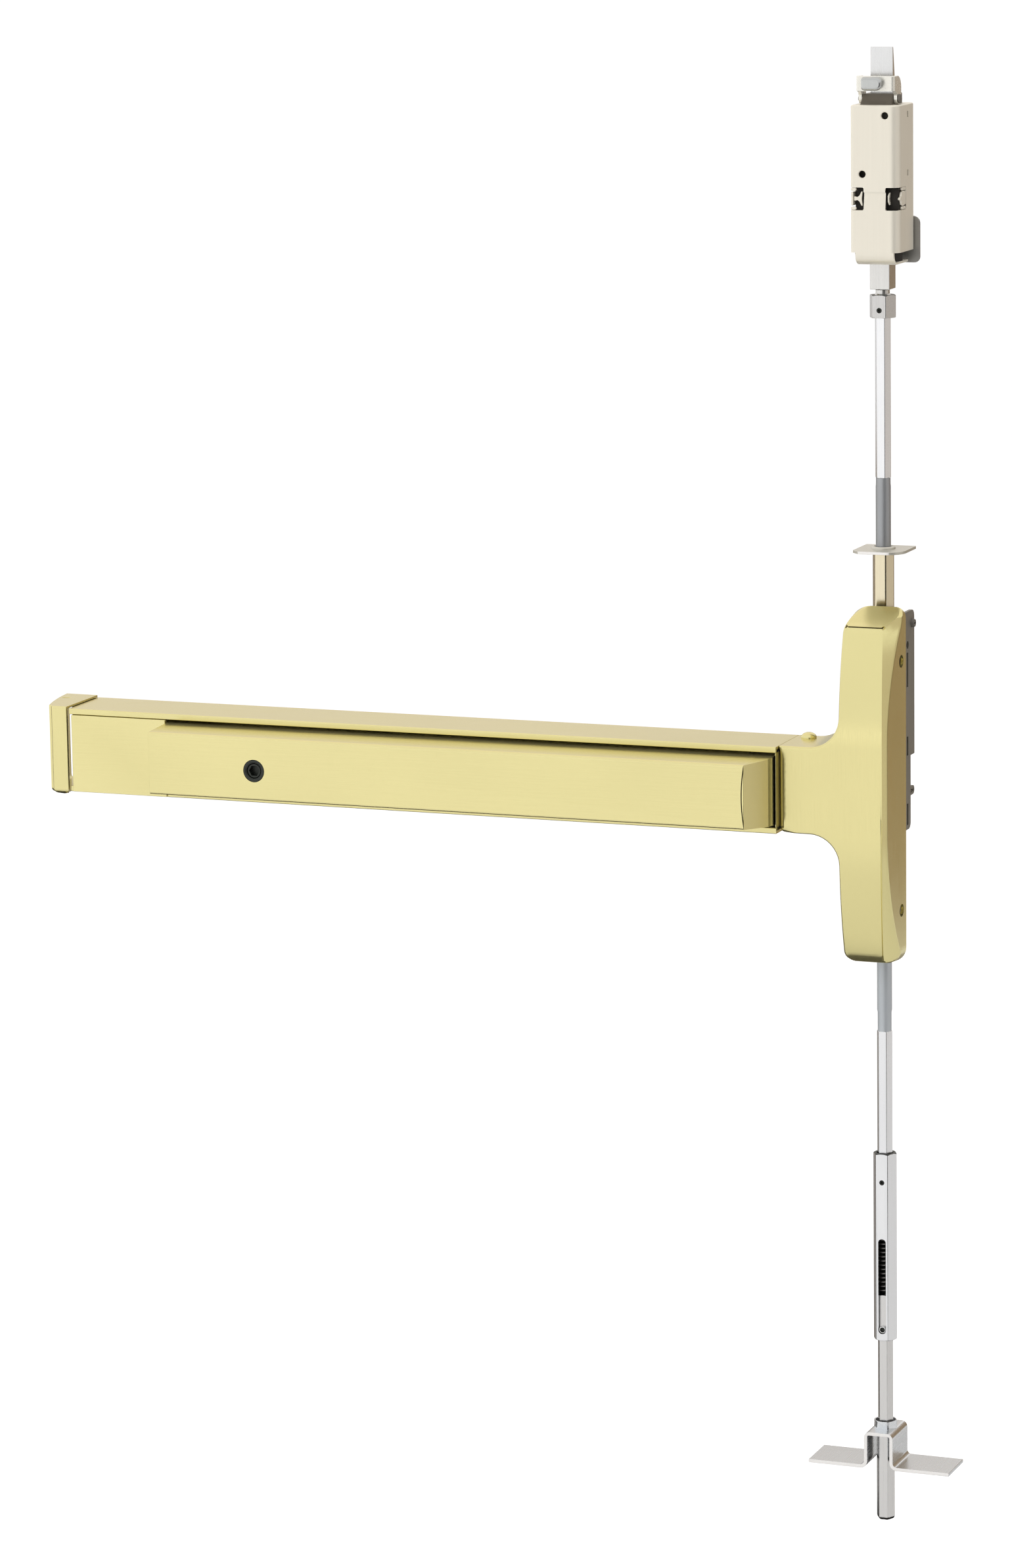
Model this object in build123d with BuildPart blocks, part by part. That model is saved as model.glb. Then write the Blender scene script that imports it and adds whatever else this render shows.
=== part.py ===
from build123d import *
import os
from math import asin, cos, pi, radians, sin, sqrt

# Axes: X along the door, Y into the door, Z up, all sizes in millimetres.
# Origin: on the rod axis in X, on the door's face in Y, at the rail's mid height in Z.

# Door and the line of the concealed rods
door_thickness = 44.5
rod_y = door_thickness / 2
slide_gap = 0.3
pin_gap = 0.05
cut_room = 60.0

# Travel of the moving pieces
pad_travel = 14.0
bar_travel = 12.0
rod_travel = 12.0

# Rail
rail_half = 34.15
rail_depth = 56.4
rail_wall = 2.5
rail_lip = 4.65
rail_left = -667.5
rail_joint_gap = 0.3

# Centre cover
cover_centre = 2.2
cover_half = 22.85
cover_draft = 0.14
cover_top = 138.5
cover_bottom = -141.5
cover_depth = 50.0
cover_wall = 2.5
neck_end = -60.0
hollow_radius = 24.0
top_edge_depth = 26.0
top_edge_z = 125.5
low_edge_depth = 27.0
low_edge_z = -134.0
low_round = 5.5
crown_slope = 30.0
bevel_side = 4.7
bevel_depth = 7.0
bevel_inset = 10.25
crown_lift = 5.0
corner_inner = 18.0
corner_outer = 8.0
corner_low = 12.0
side_hole = 7.0
side_hole_z = 98.0
side_hole_y = -11.0
side_head = 6.4
side_head_height = 2.6
ear_half = 7.0

# Dome screw on the neck
dome_diameter = 12.4
dome_height = 4.4
dome_x = -51.0
dome_y = -9.5
dome_shank = 5.0
small_shank = 4.0

# Push pad
pad_left = -580.6
pad_right = -76.8
pad_front = -91.0
pad_half_front = 25.2
pad_half = 27.0
pad_back = -45.0
pad_wall = 2.4
pad_edge_round = 1.5
pad_end_reach = 10.3
pad_flange = 3.4
pad_plug = 2.2
carrier_front = -62.0
carrier_half = 24.2
carrier_left = -572.0
carrier_right = -82.0

# Dogging screw
dog_x = -488.6
dog_z = -1.5
dog_diameter = 18.2
dog_key = 7.9
dog_shank = 6.0
dog_cam_length = 16.0
dog_cam_height = 5.0
dog_cam_front = -52.0
dog_cam_thick = 3.0
dog_bore = 11.0
dog_flange = 21.0
dog_depth = 5.0
catch_half = 10.0
catch_slot = 3.5
catch_reach = 11.0

# Filler and end cap at the hinge side
filler_thick = 1.5
filler_gap = 0.6
cap_half = 36.0
cap_front = -58.2
cap_inner_x = -669.0
cap_face_x = -686.5
cap_base_x = -697.0
cap_wall = 2.0
cap_bulge_y = -54.0
cap_bow = 1.5
cap_corner_x = -684.0
cap_screw = 7.5
cap_screw_x = -688.0
cap_screw_y = -19.3
cap_screw_taper = 41.0
cap_land = 7.0
cap_land_front = 6.0
foot_left = -691.0
foot_thick = 3.0
foot_hole_x = -680.0
foot_hole_z = 20.0
tongue_right = -640.0
tongue_half = 26.0
hook_back = -50.0
hook_thick = 2.7

# Cranks that turn the pad's travel into the bar's travel
crank_xs = (-430.0, -170.0)
crank_y = -30.0
crank_pad_arm = 20.0
crank_thick = 6.0
crank_hub = 6.0
link_pin = 5.0
link_boss = 4.5
plate_thick = 3.0
layer_gap = 0.5
cheek_inner = 8.0
cheek_front = -36.0
cheek_half = 10.0
cheek_foot = 6.0

# Actuator bar
bar_left = -462.0
bar_right = -30.0
bar_y0 = -21.0
bar_y1 = -6.5

# Lift levers
lever_x = 11.2
lever_z = 24.0
lever_arm = 12.0
lever_hub = 4.5
lever_pin = 4.0
lever_pivot = 5.0
front_arm_y = 3.0
front_arm_thick = 4.0
rear_arm_y = 13.0
rear_arm_thick = 3.0
yoke_y0 = -12.0
yoke_y1 = -9.0
yoke_grip = 32.0
yoke_half = 16.0

# Chassis
chassis_left = -18.0
chassis_right = 22.5
chassis_top = 133.0
chassis_low = -38.5
chassis_depth = 30.0
chassis_low_depth = 20.0
chassis_step = 19.0
sheet = 2.5
mount_hole = 5.5
mount_half_width = 12.0
mount_z = 112.0
frame_round = 6.0
foot_round = 5.0
frame_notch = 6.0
frame_notch_y = 12.6
frame_notch_z = 107.0
frame_slot_y = 12.0
frame_slot_half = 2.0
frame_slots = [(74.0, 101.0), (20.0, 35.0), (-35.0, -18.0)]
clamp_low = 116.0
clamp_high = 127.0
clamp_screw = 7.0
clamp_screw_y = 24.0
clamp_screw_z = 122.6
tab_root = 15.0
tab_end = 38.0
tab_half = 3.5
tab_z = -11.0
tab_hole = 3.0
clip_back = 28.0
clip_low = -34.0
clip_high = -19.0
bracket_half = 31.4
bracket_long = 40.0
bracket_screw_z = 22.0
bracket_screw_inset = 10.0
bracket_screw_head = 8.0
bracket_screw_height = 2.2
dome_land = 7.0
dome_land_front = 6.0
pivot_back = 17.0

# Rods of seven sixteenths inch hexagon bar
rod_flats = 11.1
thread_diameter = 11.8
stud_end = 8.0
stud_length = 14.0
top_rod_end = 371.0
top_thread_end = 235.7
block_low = 24.0
block_high = 54.0
block_half = 8.0
block_front = 16.6
block_back = 27.9
block_slot_deep = 22.7
block_slot_half = 3.6
tube_flats = 15.5
guide_z = 178.0
guide_thick = 2.2
guide_half = 20.3
guide_hole = 13.4
guide_corner = 14.0

# Joints of the top rod
nut_flats = 18.4
nut_low = 359.6
nut_high = 377.1
nut_screw_z = 365.6
stud_diameter = 12.4
set_screw = 4.2
set_screw_key = 1.2
set_screw_deep = 1.5
link_block = 15.9
link_block_low = 381.6
link_block_high = 432.0

# Top latch
case_half = 19.3
case_front = 1.8
case_back = 40.6
case_low = 410.8
case_high = 521.5
case_wall = 2.0
lip_half = 15.6
lip_low = 401.3
lip_round = 8.0
window_low = 443.1
window_high = 460.5
window_inner = 8.6
window_side = 14.6
bolt_half = 8.85
bolt_front = 20.9
bolt_thick = 9.5
bolt_tip_thick = 1.7
bolt_tip = 566.0
bolt_bevel = 50.0
bolt_grip = 22.0
carrier_high = 478.0
latch_carrier_half = 14.0
latch_carrier_front = 12.0
latch_carrier_back = 34.0
guide_body_low = 498.0
guide_body_high = 531.0
guide_body_half = 12.4
back_plate_half = 23.5
back_plate_low = 396.0
back_plate_high = 436.0
back_plate_round = 5.0
floor_hole = 17.0
floor_back = 38.0
case_top_thick = 1.5
case_hole = 5.5
case_hole_right_x = 8.3
case_hole_left_x = -9.8
case_slot_y = 26.0
case_slot_high = 515.0
case_slot_low = 470.5
case_slot_wide = 3.5
case_slot_tall = 4.2
lug_front = 3.0
lug_back = 20.0
lug_reach = 10.0
lug_step = 3.0
guide_body_front = 5.0
guide_body_back = 34.0

# Trip lever on the top latch
trip_y = 15.0
trip_z = 527.3
trip_pin = 4.0
trip_ear = 3.9
trip_half = 15.3
trip_front = 4.5
trip_back = 22.0
trip_low = 533.4
trip_high = 544.8
trip_sheet = 2.5
nose_x = -1.8
nose_half = 8.3
nose_bulge = 5.5

# Bottom rod, sleeve and bolt
low_thread_end = -203.0
low_rod_end = -370.6
sleeve_flats = 17.0
sleeve_bore = 13.4
sleeve_high = -301.8
sleeve_low = -454.6
sleeve_hole_z = -324.9
slot_high = -371.0
slot_low = -449.0
slot_width = 6.3
shaft_top = -418.0
bolt_flats = 13.2
bolt_top = -525.4
bolt_low = -604.0
bolt_end_round = 3.0
keeper_screw_z = -445.7
keeper_height = 2.4

# Bottom guide
guide_top = -527.6
guide_wing_top = -554.9
guide_sheet = 2.8
guide_reach = 58.5
guide_channel_half = 12.0
guide_front = 2.5
guide_depth = 39.5
guide_bend = 4.0
guide_top_bend = 2.2
bolt_passage = 15.6
bushing_outer = 18.4
bushing_length = 3.4
wing_hole_x = 44.0

# Springs
case_wire = 2.0
case_outer = 28.0
case_pitch = 6.2
bolt_wire = 1.2
bolt_outer = 9.6
bolt_pitch = 3.46

# Values worked out from the sizes above
rail_right = neck_end - rail_joint_gap
rail_mouth = rail_half - rail_lip
crank_half_swing = asin(pad_travel / 2 / crank_pad_arm)
crank_bar_arm = bar_travel / 2 / sin(crank_half_swing)
lever_half_swing = asin(rod_travel / 2 / lever_arm)
bar_z0 = crank_thick / 2 + layer_gap
bar_z1 = bar_z0 + plate_thick

os.makedirs("parts", exist_ok=True)


def save(piece, name):
    """Label a finished piece and write it."""
    piece.part.label = name
    export_step(piece.part, f"parts/{name}.step")


def facing(y):
    """Sketch plane parallel to the door at depth y, looking out of the door."""
    return Plane.XZ.offset(-y)


def panel(a0, a1, b0, b1, mode=Mode.ADD):
    """Rectangle between two corners of the sketch plane."""
    with Locations(((a0 + a1) / 2, (b0 + b1) / 2)):
        Rectangle(abs(a1 - a0), abs(b1 - b0), mode=mode)


def brick(x0, x1, y0, y1, z0, z1, mode=Mode.ADD):
    """Box between two corners."""
    with Locations(((x0 + x1) / 2, (y0 + y1) / 2, (z0 + z1) / 2)):
        Box(abs(x1 - x0), abs(y1 - y0), abs(z1 - z0), mode=mode)


def hexagon(flats):
    """Hexagon with its corners towards the ends of the door."""
    RegularPolygon(flats / sqrt(3), 6)


def centred(plane, a, b):
    """Sketch plane with its origin moved to a point of its own."""
    return Plane(plane.location * Pos(a, b, 0))


def rod_section(z):
    """Sketch plane across the rods at height z, centred on their axis."""
    return Plane((0, rod_y, z))


def coil(plane, outer, wire, length, spacing):
    """Compression spring standing on a plane: one unbroken tube on half-turn biarcs."""
    radius = (outer - wire) / 2
    curls = round((length - 2 * wire) / spacing)
    pitch = (length - 2 * wire) / curls
    slope = pitch / (2 * pi)

    def place(turn):
        local = Vector(radius * cos(turn), radius * sin(turn), wire + slope * turn)
        return plane.from_local_coords(local)

    def heading(turn):
        local = Vector(-radius * sin(turn), radius * cos(turn), slope).normalized()
        return plane.from_local_coords(local) - plane.origin

    samples = [place(pi * n / 8) for n in range(16 * curls + 1)]
    pairs = [(n, n + k) for n in range(len(samples) - 16) for k in (8, 16)]
    apart = [(samples[b] - samples[a]).length for a, b in pairs]
    print("least gap between curls", round(min(apart) - wire, 2))
    with BuildPart() as spring:
        with BuildLine() as path:
            Line(place(0) - heading(0) * wire, place(0))
            for half in range(2 * curls):
                start, end = place(pi * half), place(pi * (half + 1))
                leave, arrive = heading(pi * half), heading(pi * (half + 1))
                chord = end - start
                spread = 2 * (1 - leave.dot(arrive))
                along = chord.dot(leave + arrive)
                reach = (-along + sqrt(along ** 2 + spread * chord.dot(chord))) / spread
                first, second = start + leave * reach, end - arrive * reach
                middle = (first + second) * 0.5
                TangentArc(start, middle, tangent=leave)
                TangentArc(middle, end, tangent=second - first)
            Line(end, end + arrive * wire)
        with BuildSketch(Plane(origin=place(0) - heading(0) * wire, z_dir=heading(0))):
            Circle(wire / 2)
        sweep(path=path.line)
    return spring


# Rail: an extruded channel, open to the front between two lips
with BuildPart() as rail_channel:
    with BuildSketch(Plane.YZ.offset(rail_left)):
        panel(-rail_depth, 0, -rail_half, rail_half)
        inner = rail_half - rail_wall
        panel(-rail_depth + rail_wall, -rail_wall, -inner, inner, Mode.SUBTRACT)
        panel(-rail_depth, -rail_depth + rail_wall, -rail_mouth, rail_mouth, Mode.SUBTRACT)
    extrude(amount=rail_right - rail_left)
save(rail_channel, "rail_channel")


# Centre cover: a drafted T-shaped shell with a bowed front
def cover_outline(depth, inset):
    """Outline of the cover at one depth in front of the door."""
    draft = cover_draft * depth + inset
    left = cover_centre - cover_half + draft
    right = cover_centre + cover_half - draft
    top = cover_top - draft
    bottom = cover_bottom + draft
    neck = rail_half - inset
    end = neck_end - 2 * inset
    corners = [(left, top), (right, top), (right, bottom), (left, bottom)]
    corners += [(left, -neck), (end, -neck), (end, neck), (left, neck)]
    inner_corner = corner_inner - draft
    outer_corner = max(corner_outer - draft, 0.5)
    low_corner = corner_low - draft
    bend = hollow_radius + inset
    rounds = [inner_corner, outer_corner, low_corner, low_corner, bend, 0, 0, bend]
    with BuildLine() as outline:
        FilletPolyline(*corners, radius=rounds, close=True)
    return outline.edges()


def cover_profile(back, lift):
    """Side profile of the cover: sloped crown, bowed front and rounded foot."""
    foot_depth = low_edge_depth - low_round
    foot_z = low_edge_z - low_round
    rise = radians(crown_slope)
    crown = (-top_edge_depth + lift * sin(rise), top_edge_z + lift * cos(rise) + lift / 2)
    with BuildLine() as profile:
        front_top = (-cover_depth, rail_half + 1)
        front_low = (-cover_depth, -rail_half - 1)
        Line(front_low, front_top)
        TangentArc(front_top, (-top_edge_depth, top_edge_z), tangent=(0, 1))
        if lift:
            Line((-top_edge_depth, top_edge_z), crown)
        ridge = (0, cover_top + lift)
        Line(crown, ridge)
        above, below = cover_top + cut_room, foot_z - cut_room
        Polyline(ridge, (0, above), (back, above), (back, below))
        Polyline((back, below), (-foot_depth, below), (-foot_depth, foot_z))
        Line((-foot_depth, foot_z), (-low_edge_depth, low_edge_z))
        TangentArc(front_low, (-low_edge_depth, low_edge_z), tangent=(0, -1))
    return profile.edges()


def cover_form(inset):
    """Closed form of the cover, or of its hollow when inset by the wall."""
    bevel_x = cover_centre + cover_half - bevel_inset
    with BuildPart() as form:
        with BuildSketch(facing(inset)):
            make_face(cover_outline(-inset, inset))
        with BuildSketch(facing(-cover_depth - 1)):
            make_face(cover_outline(cover_depth + 1, inset))
        loft(ruled=True)
        with BuildSketch(Plane.YZ.offset(neck_end - cut_room)):
            make_face(cover_profile(cut_room, 0))
            if inset:
                offset(amount=-inset, kind=Kind.INTERSECTION, mode=Mode.REPLACE)
        extrude(amount=3 * cut_room, mode=Mode.INTERSECT)
        with BuildSketch(Plane.YZ.offset(bevel_x)):
            make_face(cover_profile(3 * cut_room, crown_lift))
            if inset:
                offset(amount=-inset, kind=Kind.INTERSECTION, mode=Mode.REPLACE)
        slant = (bevel_side, bevel_depth, 0)
        extrude(amount=3 * cut_room, dir=slant, both=True, mode=Mode.INTERSECT)
    return form.part


cover_shell = cover_form(0)
cover_hollow = cover_form(cover_wall)
with BuildPart() as centre_cover:
    add(cover_shell)
    add(cover_hollow, mode=Mode.SUBTRACT)
    with BuildSketch(Plane.YZ.offset(cover_centre)):
        with Locations(*[(side_hole_y, z) for z in (side_hole_z, -side_hole_z)]):
            Circle(side_hole / 2)
    extrude(amount=cover_half + 5, mode=Mode.SUBTRACT)
    with BuildSketch(Plane.XY):
        with Locations((dome_x, dome_y)):
            Circle(small_shank / 2 + 0.2)
    extrude(amount=rail_half + 2, mode=Mode.SUBTRACT)
save(centre_cover, "centre_cover")


# Small fasteners
def pan_screw(plane, head, height, shank, length):
    """Slotted pan-head screw: the plane lies under its head, the shank runs against it."""
    with BuildPart() as screw:
        with BuildSketch(plane):
            Circle(head / 2)
        extrude(amount=height, taper=12)
        with BuildSketch(plane):
            Circle(shank / 2)
        extrude(amount=-length)
        with BuildSketch(plane.offset(height)):
            Rectangle(head * 0.7, head * 0.14)
        extrude(amount=-height * 0.4, mode=Mode.SUBTRACT)
    return screw.part


def group(name, screws):
    """Write like fasteners as one node of separate solids."""
    with BuildPart() as fasteners:
        for screw in screws:
            add(screw)
    save(fasteners, name)


# Dome screw on top of the neck
with BuildPart() as cover_dome_screw:
    with BuildSketch(Plane((dome_x, dome_y, rail_half))):
        Circle(dome_diameter / 2)
    extrude(amount=dome_height)
    fillet(cover_dome_screw.edges().sort_by(Axis.Z)[-1], radius=dome_height - 0.5)
    with BuildSketch(Plane((dome_x, dome_y, rail_half))):
        Circle(small_shank / 2)
    extrude(amount=-dome_shank)
save(cover_dome_screw, "cover_dome_screw")

# Chassis: mounting plate on the door's face, and the sheet frame in the door's pocket
plate_left = cover_centre - cover_half + cover_wall + 1.5
plate_right = cover_centre + cover_half - cover_wall - 1.5
plate_top = cover_top - corner_inner
plate_low = cover_bottom + corner_low + 2
ear_room = cover_wall + cover_draft * (ear_half - side_hole_y) + slide_gap
ear_right = cover_centre + cover_half - ear_room
pivot_places = [(lever_x, lever_z), (lever_x, -lever_z)]
quarters = [(side, level) for side in (-1, 1) for level in (-1, 1)]
mount_places = [(side * mount_half_width, level * mount_z) for side, level in quarters]
pin_path_x = lever_x - lever_arm * sin(lever_half_swing)
pin_path_z = lever_z - lever_arm * cos(lever_half_swing)
pin_drop = lever_arm - lever_arm * cos(lever_half_swing)


def lever_windows(right, mode):
    """Openings that the lift levers' driving pins travel through."""
    half = lever_pin / 2 + 2 * slide_gap
    for side in (1, -1):
        inner = side * (pin_path_z - pin_drop - half)
        outer = side * (pin_path_z + half)
        panel(pin_path_x - half, right, inner, outer, mode)


with BuildPart() as chassis_plate:
    with BuildSketch(facing(0)):
        panel(plate_left, plate_right, plate_low, plate_top)
        lever_windows(plate_right, Mode.SUBTRACT)
        with Locations(*mount_places):
            Circle(mount_hole / 2, mode=Mode.SUBTRACT)
        with Locations(*pivot_places):
            Circle(lever_pivot / 2, mode=Mode.SUBTRACT)
    extrude(amount=sheet)
    for level in (side_hole_z, -side_hole_z):
        ear_front = side_hole_y - ear_half
        brick(ear_right - sheet, ear_right, ear_front, 0, level - ear_half, level + ear_half)
    with BuildSketch(Plane.YZ.offset(ear_right - sheet)):
        with Locations(*[(side_hole_y, z) for z in (side_hole_z, -side_hole_z)]):
            Circle(small_shank / 2)
    extrude(amount=sheet, mode=Mode.SUBTRACT)
save(chassis_plate, "chassis_plate")

with BuildPart() as chassis_frame:
    with BuildSketch(Plane.XY.offset(chassis_low)):
        panel(chassis_left, chassis_right, 0, chassis_depth)
        panel(chassis_left + sheet, chassis_right - sheet, sheet, chassis_depth, Mode.SUBTRACT)
    extrude(amount=chassis_top - chassis_low)
    brick(
        chassis_left,
        chassis_right,
        chassis_low_depth,
        chassis_depth,
        chassis_low,
        chassis_step,
        Mode.SUBTRACT,
    )
    side_edges = chassis_frame.edges().filter_by(Axis.X)
    far_top = side_edges.filter_by(lambda e: e.center().Y > chassis_depth - 1)
    fillet(far_top.filter_by(lambda e: e.center().Z > chassis_top - 1), radius=frame_round)
    low_corner = side_edges.filter_by(lambda e: e.center().Z < chassis_low + 1)
    fillet(low_corner.filter_by(lambda e: e.center().Y > chassis_low_depth - 1), radius=foot_round)
    with BuildSketch(facing(sheet)):
        lever_windows(chassis_right - sheet, Mode.ADD)
        with Locations(*mount_places):
            Circle(mount_hole / 2)
        with Locations(*pivot_places):
            Circle(lever_pivot / 2)
    extrude(amount=sheet, mode=Mode.SUBTRACT)
    with BuildSketch(Plane.YZ.offset(chassis_right - sheet)):
        with Locations((frame_notch_y, frame_notch_z)):
            Circle(frame_notch / 2)
        for low, high in frame_slots:
            panel(frame_slot_y - frame_slot_half, frame_slot_y + frame_slot_half, low, high)
    extrude(amount=sheet, mode=Mode.SUBTRACT)
    with BuildSketch(Plane.YZ.offset(chassis_left)):
        with Locations((clamp_screw_y, clamp_screw_z)):
            Circle(small_shank / 2)
    extrude(amount=chassis_right - chassis_left, mode=Mode.SUBTRACT)
save(chassis_frame, "chassis_frame")

# Tab behind the frame with an eye for a spring hook
with BuildPart() as frame_tab:
    with BuildSketch(Plane.YZ.offset(chassis_right - 2 * sheet)):
        panel(tab_root, tab_end - tab_half, tab_z - tab_half, tab_z + tab_half)
        with Locations((tab_end - tab_half, tab_z)):
            Circle(tab_half)
            Circle(tab_hole / 2, mode=Mode.SUBTRACT)
    extrude(amount=sheet)
    tab_x0, tab_x1 = chassis_right - 2 * sheet, chassis_right - sheet
    brick(tab_x0, tab_x1, tab_root, clip_back, clip_low, clip_high)
save(frame_tab, "frame_tab")

# Bracket that joins the rail to the chassis plate and takes the neck's dome screw
bracket_right = lever_x - lever_arm - rod_travel / 2
bracket_left = rail_right - bracket_long
bracket_screw_xs = (bracket_left + bracket_screw_inset, bracket_right - bracket_screw_inset)
bracket_screw_places = [(x, side * bracket_screw_z) for x in bracket_screw_xs for side in (1, -1)]
with BuildPart() as rail_bracket:
    brick(bracket_left, bracket_right, -2 * sheet, -sheet, -bracket_half, bracket_half)
    land_left, land_right = dome_x - dome_land, dome_x + dome_land
    land_front = dome_y - dome_land_front
    brick(land_left, land_right, land_front, -sheet, bracket_half - sheet, bracket_half)
    with BuildSketch(Plane.XY.offset(bracket_half - sheet)):
        with Locations((dome_x, dome_y)):
            Circle(small_shank / 2)
    extrude(amount=sheet, mode=Mode.SUBTRACT)
    with BuildSketch(facing(-sheet)):
        with Locations(*bracket_screw_places):
            Circle(small_shank / 2)
    extrude(amount=sheet, mode=Mode.SUBTRACT)
save(rail_bracket, "rail_bracket")
bracket_screws = []
for x, z in bracket_screw_places:
    seat = centred(facing(-2 * sheet), x, z)
    bracket_screws.append(
        pan_screw(seat, bracket_screw_head, bracket_screw_height, small_shank, sheet)
    )
group("bracket_screws", bracket_screws)

side_screws = []
for z in (side_hole_z, -side_hole_z):
    seat = centred(Plane.YZ.offset(ear_right), side_hole_y, z)
    side_screws.append(pan_screw(seat, side_head, side_head_height, small_shank, sheet))
group("cover_side_screws", side_screws)


# Push pad: folded channel with a sloped closing cap at its right end
def pad_section(inset):
    """Section of the pad, or of its hollow when inset by the wall."""
    half, front_half = pad_half - inset, pad_half_front - inset
    front, back = pad_front + inset, pad_back + inset
    shoulder = -rail_depth
    points = [(back, -half), (shoulder, -half), (front, -front_half), (front, front_half)]
    points += [(shoulder, half), (back, half)]
    corner = pad_edge_round if not inset else 0.3
    with BuildLine() as section:
        FilletPolyline(*points, radius=[0, 0, corner, corner, 0, 0], close=True)
    return section.edges()


with BuildPart() as push_pad:
    with BuildSketch(Plane.YZ.offset(pad_left)):
        make_face(pad_section(0))
    extrude(amount=pad_right - pad_left)
    with BuildSketch(Plane.YZ.offset(pad_left)):
        make_face(pad_section(pad_wall))
        hollow_half = pad_half - pad_wall
        panel(pad_back - 1, pad_back + pad_wall, -hollow_half, hollow_half)
    extrude(amount=pad_right - pad_left, mode=Mode.SUBTRACT)
    with BuildSketch(facing(pad_front + pad_wall)):
        with Locations((dog_x, dog_z)):
            Circle(dog_diameter / 2)
    extrude(amount=pad_wall, mode=Mode.SUBTRACT)
save(push_pad, "push_pad")

with BuildPart() as pad_left_plug:
    with BuildSketch(Plane.YZ.offset(pad_left)):
        make_face(pad_section(pad_wall))
    extrude(amount=pad_plug)
save(pad_left_plug, "pad_left_plug")

pad_end = pad_right + pad_end_reach
slope_foot = carrier_front + 2
with BuildPart() as pad_end_cap:
    with BuildSketch(Plane.XY.offset(-pad_half)):
        with BuildLine():
            Polyline(
                (pad_right, pad_front),
                (pad_end, slope_foot),
                (pad_end, pad_back),
                (pad_right, pad_back),
                close=True,
            )
        make_face()
        panel(pad_end, pad_end + pad_flange, slope_foot, pad_back)
    extrude(amount=2 * pad_half)
    with BuildSketch(Plane.YZ.offset(pad_right - 1)):
        make_face(pad_section(0))
    extrude(amount=20, mode=Mode.INTERSECT)
    tongue_inner = pad_half_front - pad_wall - 1
    tongue_y = pad_front + pad_wall
    brick(pad_right - 8, pad_right, tongue_y, tongue_y + pad_wall, -tongue_inner, tongue_inner)
save(pad_end_cap, "pad_end_cap")

# Pad carrier: channel inside the pad with one slotted ear for each crank
carrier_back = carrier_front + plate_thick
crank_rest_x = -crank_pad_arm * cos(crank_half_swing)
pad_pin_y = crank_y - pad_travel / 2
ear_z1 = -bar_z0
ear_z0 = ear_z1 - plate_thick
pin_room = link_pin / 2 + slide_gap
with BuildPart() as pad_carrier:
    brick(carrier_left, carrier_right, carrier_front, carrier_back, -carrier_half, carrier_half)
    for side in (-1, 1):
        edge = side * (carrier_half - 2)
        brick(carrier_left, carrier_right, carrier_front, pad_back, edge, side * carrier_half)
    for x in crank_xs:
        left, right = x - crank_pad_arm - pin_room, x + crank_rest_x + pin_room
        ear_back = pad_pin_y + link_pin / 2 + 3
        brick(left - 3.5, right + 3.5, carrier_back, ear_back, ear_z0, ear_z1)
        with BuildSketch(Plane.XY.offset(ear_z0)):
            panel(left, right, pad_pin_y - pin_room, pad_pin_y + pin_room)
        extrude(amount=plate_thick, mode=Mode.SUBTRACT)
    with BuildSketch(facing(carrier_back)):
        with Locations((dog_x, dog_z)):
            Circle(dog_shank / 2 + pin_gap)
    extrude(amount=plate_thick, mode=Mode.SUBTRACT)
save(pad_carrier, "pad_carrier")

# Dogging: a key turns the cam under the catch's lips and holds the pad in
dog_axis = centred(Plane.XZ, dog_x, dog_z)
with BuildPart() as dogging_bushing:
    with BuildSketch(dog_axis.offset(-pad_front - pad_wall)):
        Circle(dog_diameter / 2 - pin_gap)
    extrude(amount=pad_wall)
    with BuildSketch(dog_axis.offset(-pad_front - pad_wall)):
        Circle(dog_flange / 2)
    extrude(amount=-pad_wall)
    with BuildSketch(dog_axis.offset(-pad_front)):
        Circle(dog_bore / 2)
    extrude(amount=-2 * pad_wall, mode=Mode.SUBTRACT)
save(dogging_bushing, "dogging_bushing")

dog_head_front = -pad_front - 1
dog_head_back = dog_head_front - 2 * dog_depth
with BuildPart() as dogging_screw:
    with BuildSketch(dog_axis.offset(dog_head_back)):
        Circle(dog_bore / 2 - pin_gap)
    extrude(amount=dog_head_front - dog_head_back)
    with BuildSketch(dog_axis.offset(dog_head_front)):
        RegularPolygon(dog_key / sqrt(3), 6)
    extrude(amount=-dog_depth, mode=Mode.SUBTRACT)
    with BuildSketch(dog_axis.offset(dog_head_back)):
        Circle(dog_shank / 2)
    extrude(amount=-(dog_head_back + dog_cam_front + dog_cam_thick))
    cam_half = dog_cam_length / 2
    cam_rise = dog_cam_height / 2
    cam_back = dog_cam_front + dog_cam_thick
    cam_x0, cam_x1 = dog_x - cam_half, dog_x + cam_half
    brick(cam_x0, cam_x1, dog_cam_front, cam_back, dog_z - cam_rise, dog_z + cam_rise)
save(dogging_screw, "dogging_screw")

lip_back = dog_cam_front + pad_travel - 0.5
with BuildPart() as dogging_catch:
    base_front = -rail_wall - sheet
    lip_front = lip_back - plate_thick
    outer = catch_reach + plate_thick
    catch_x0, catch_x1 = dog_x - catch_half, dog_x + catch_half
    brick(catch_x0, catch_x1, base_front, -rail_wall, dog_z - outer, dog_z + outer)
    for side in (-1, 1):
        leg, edge = dog_z + side * catch_reach, dog_z + side * outer
        brick(catch_x0, catch_x1, lip_front, -rail_wall, leg, edge)
        brick(catch_x0, catch_x1, lip_front, lip_back, dog_z + side * catch_slot, edge)
save(dogging_catch, "dogging_catch")

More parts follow.
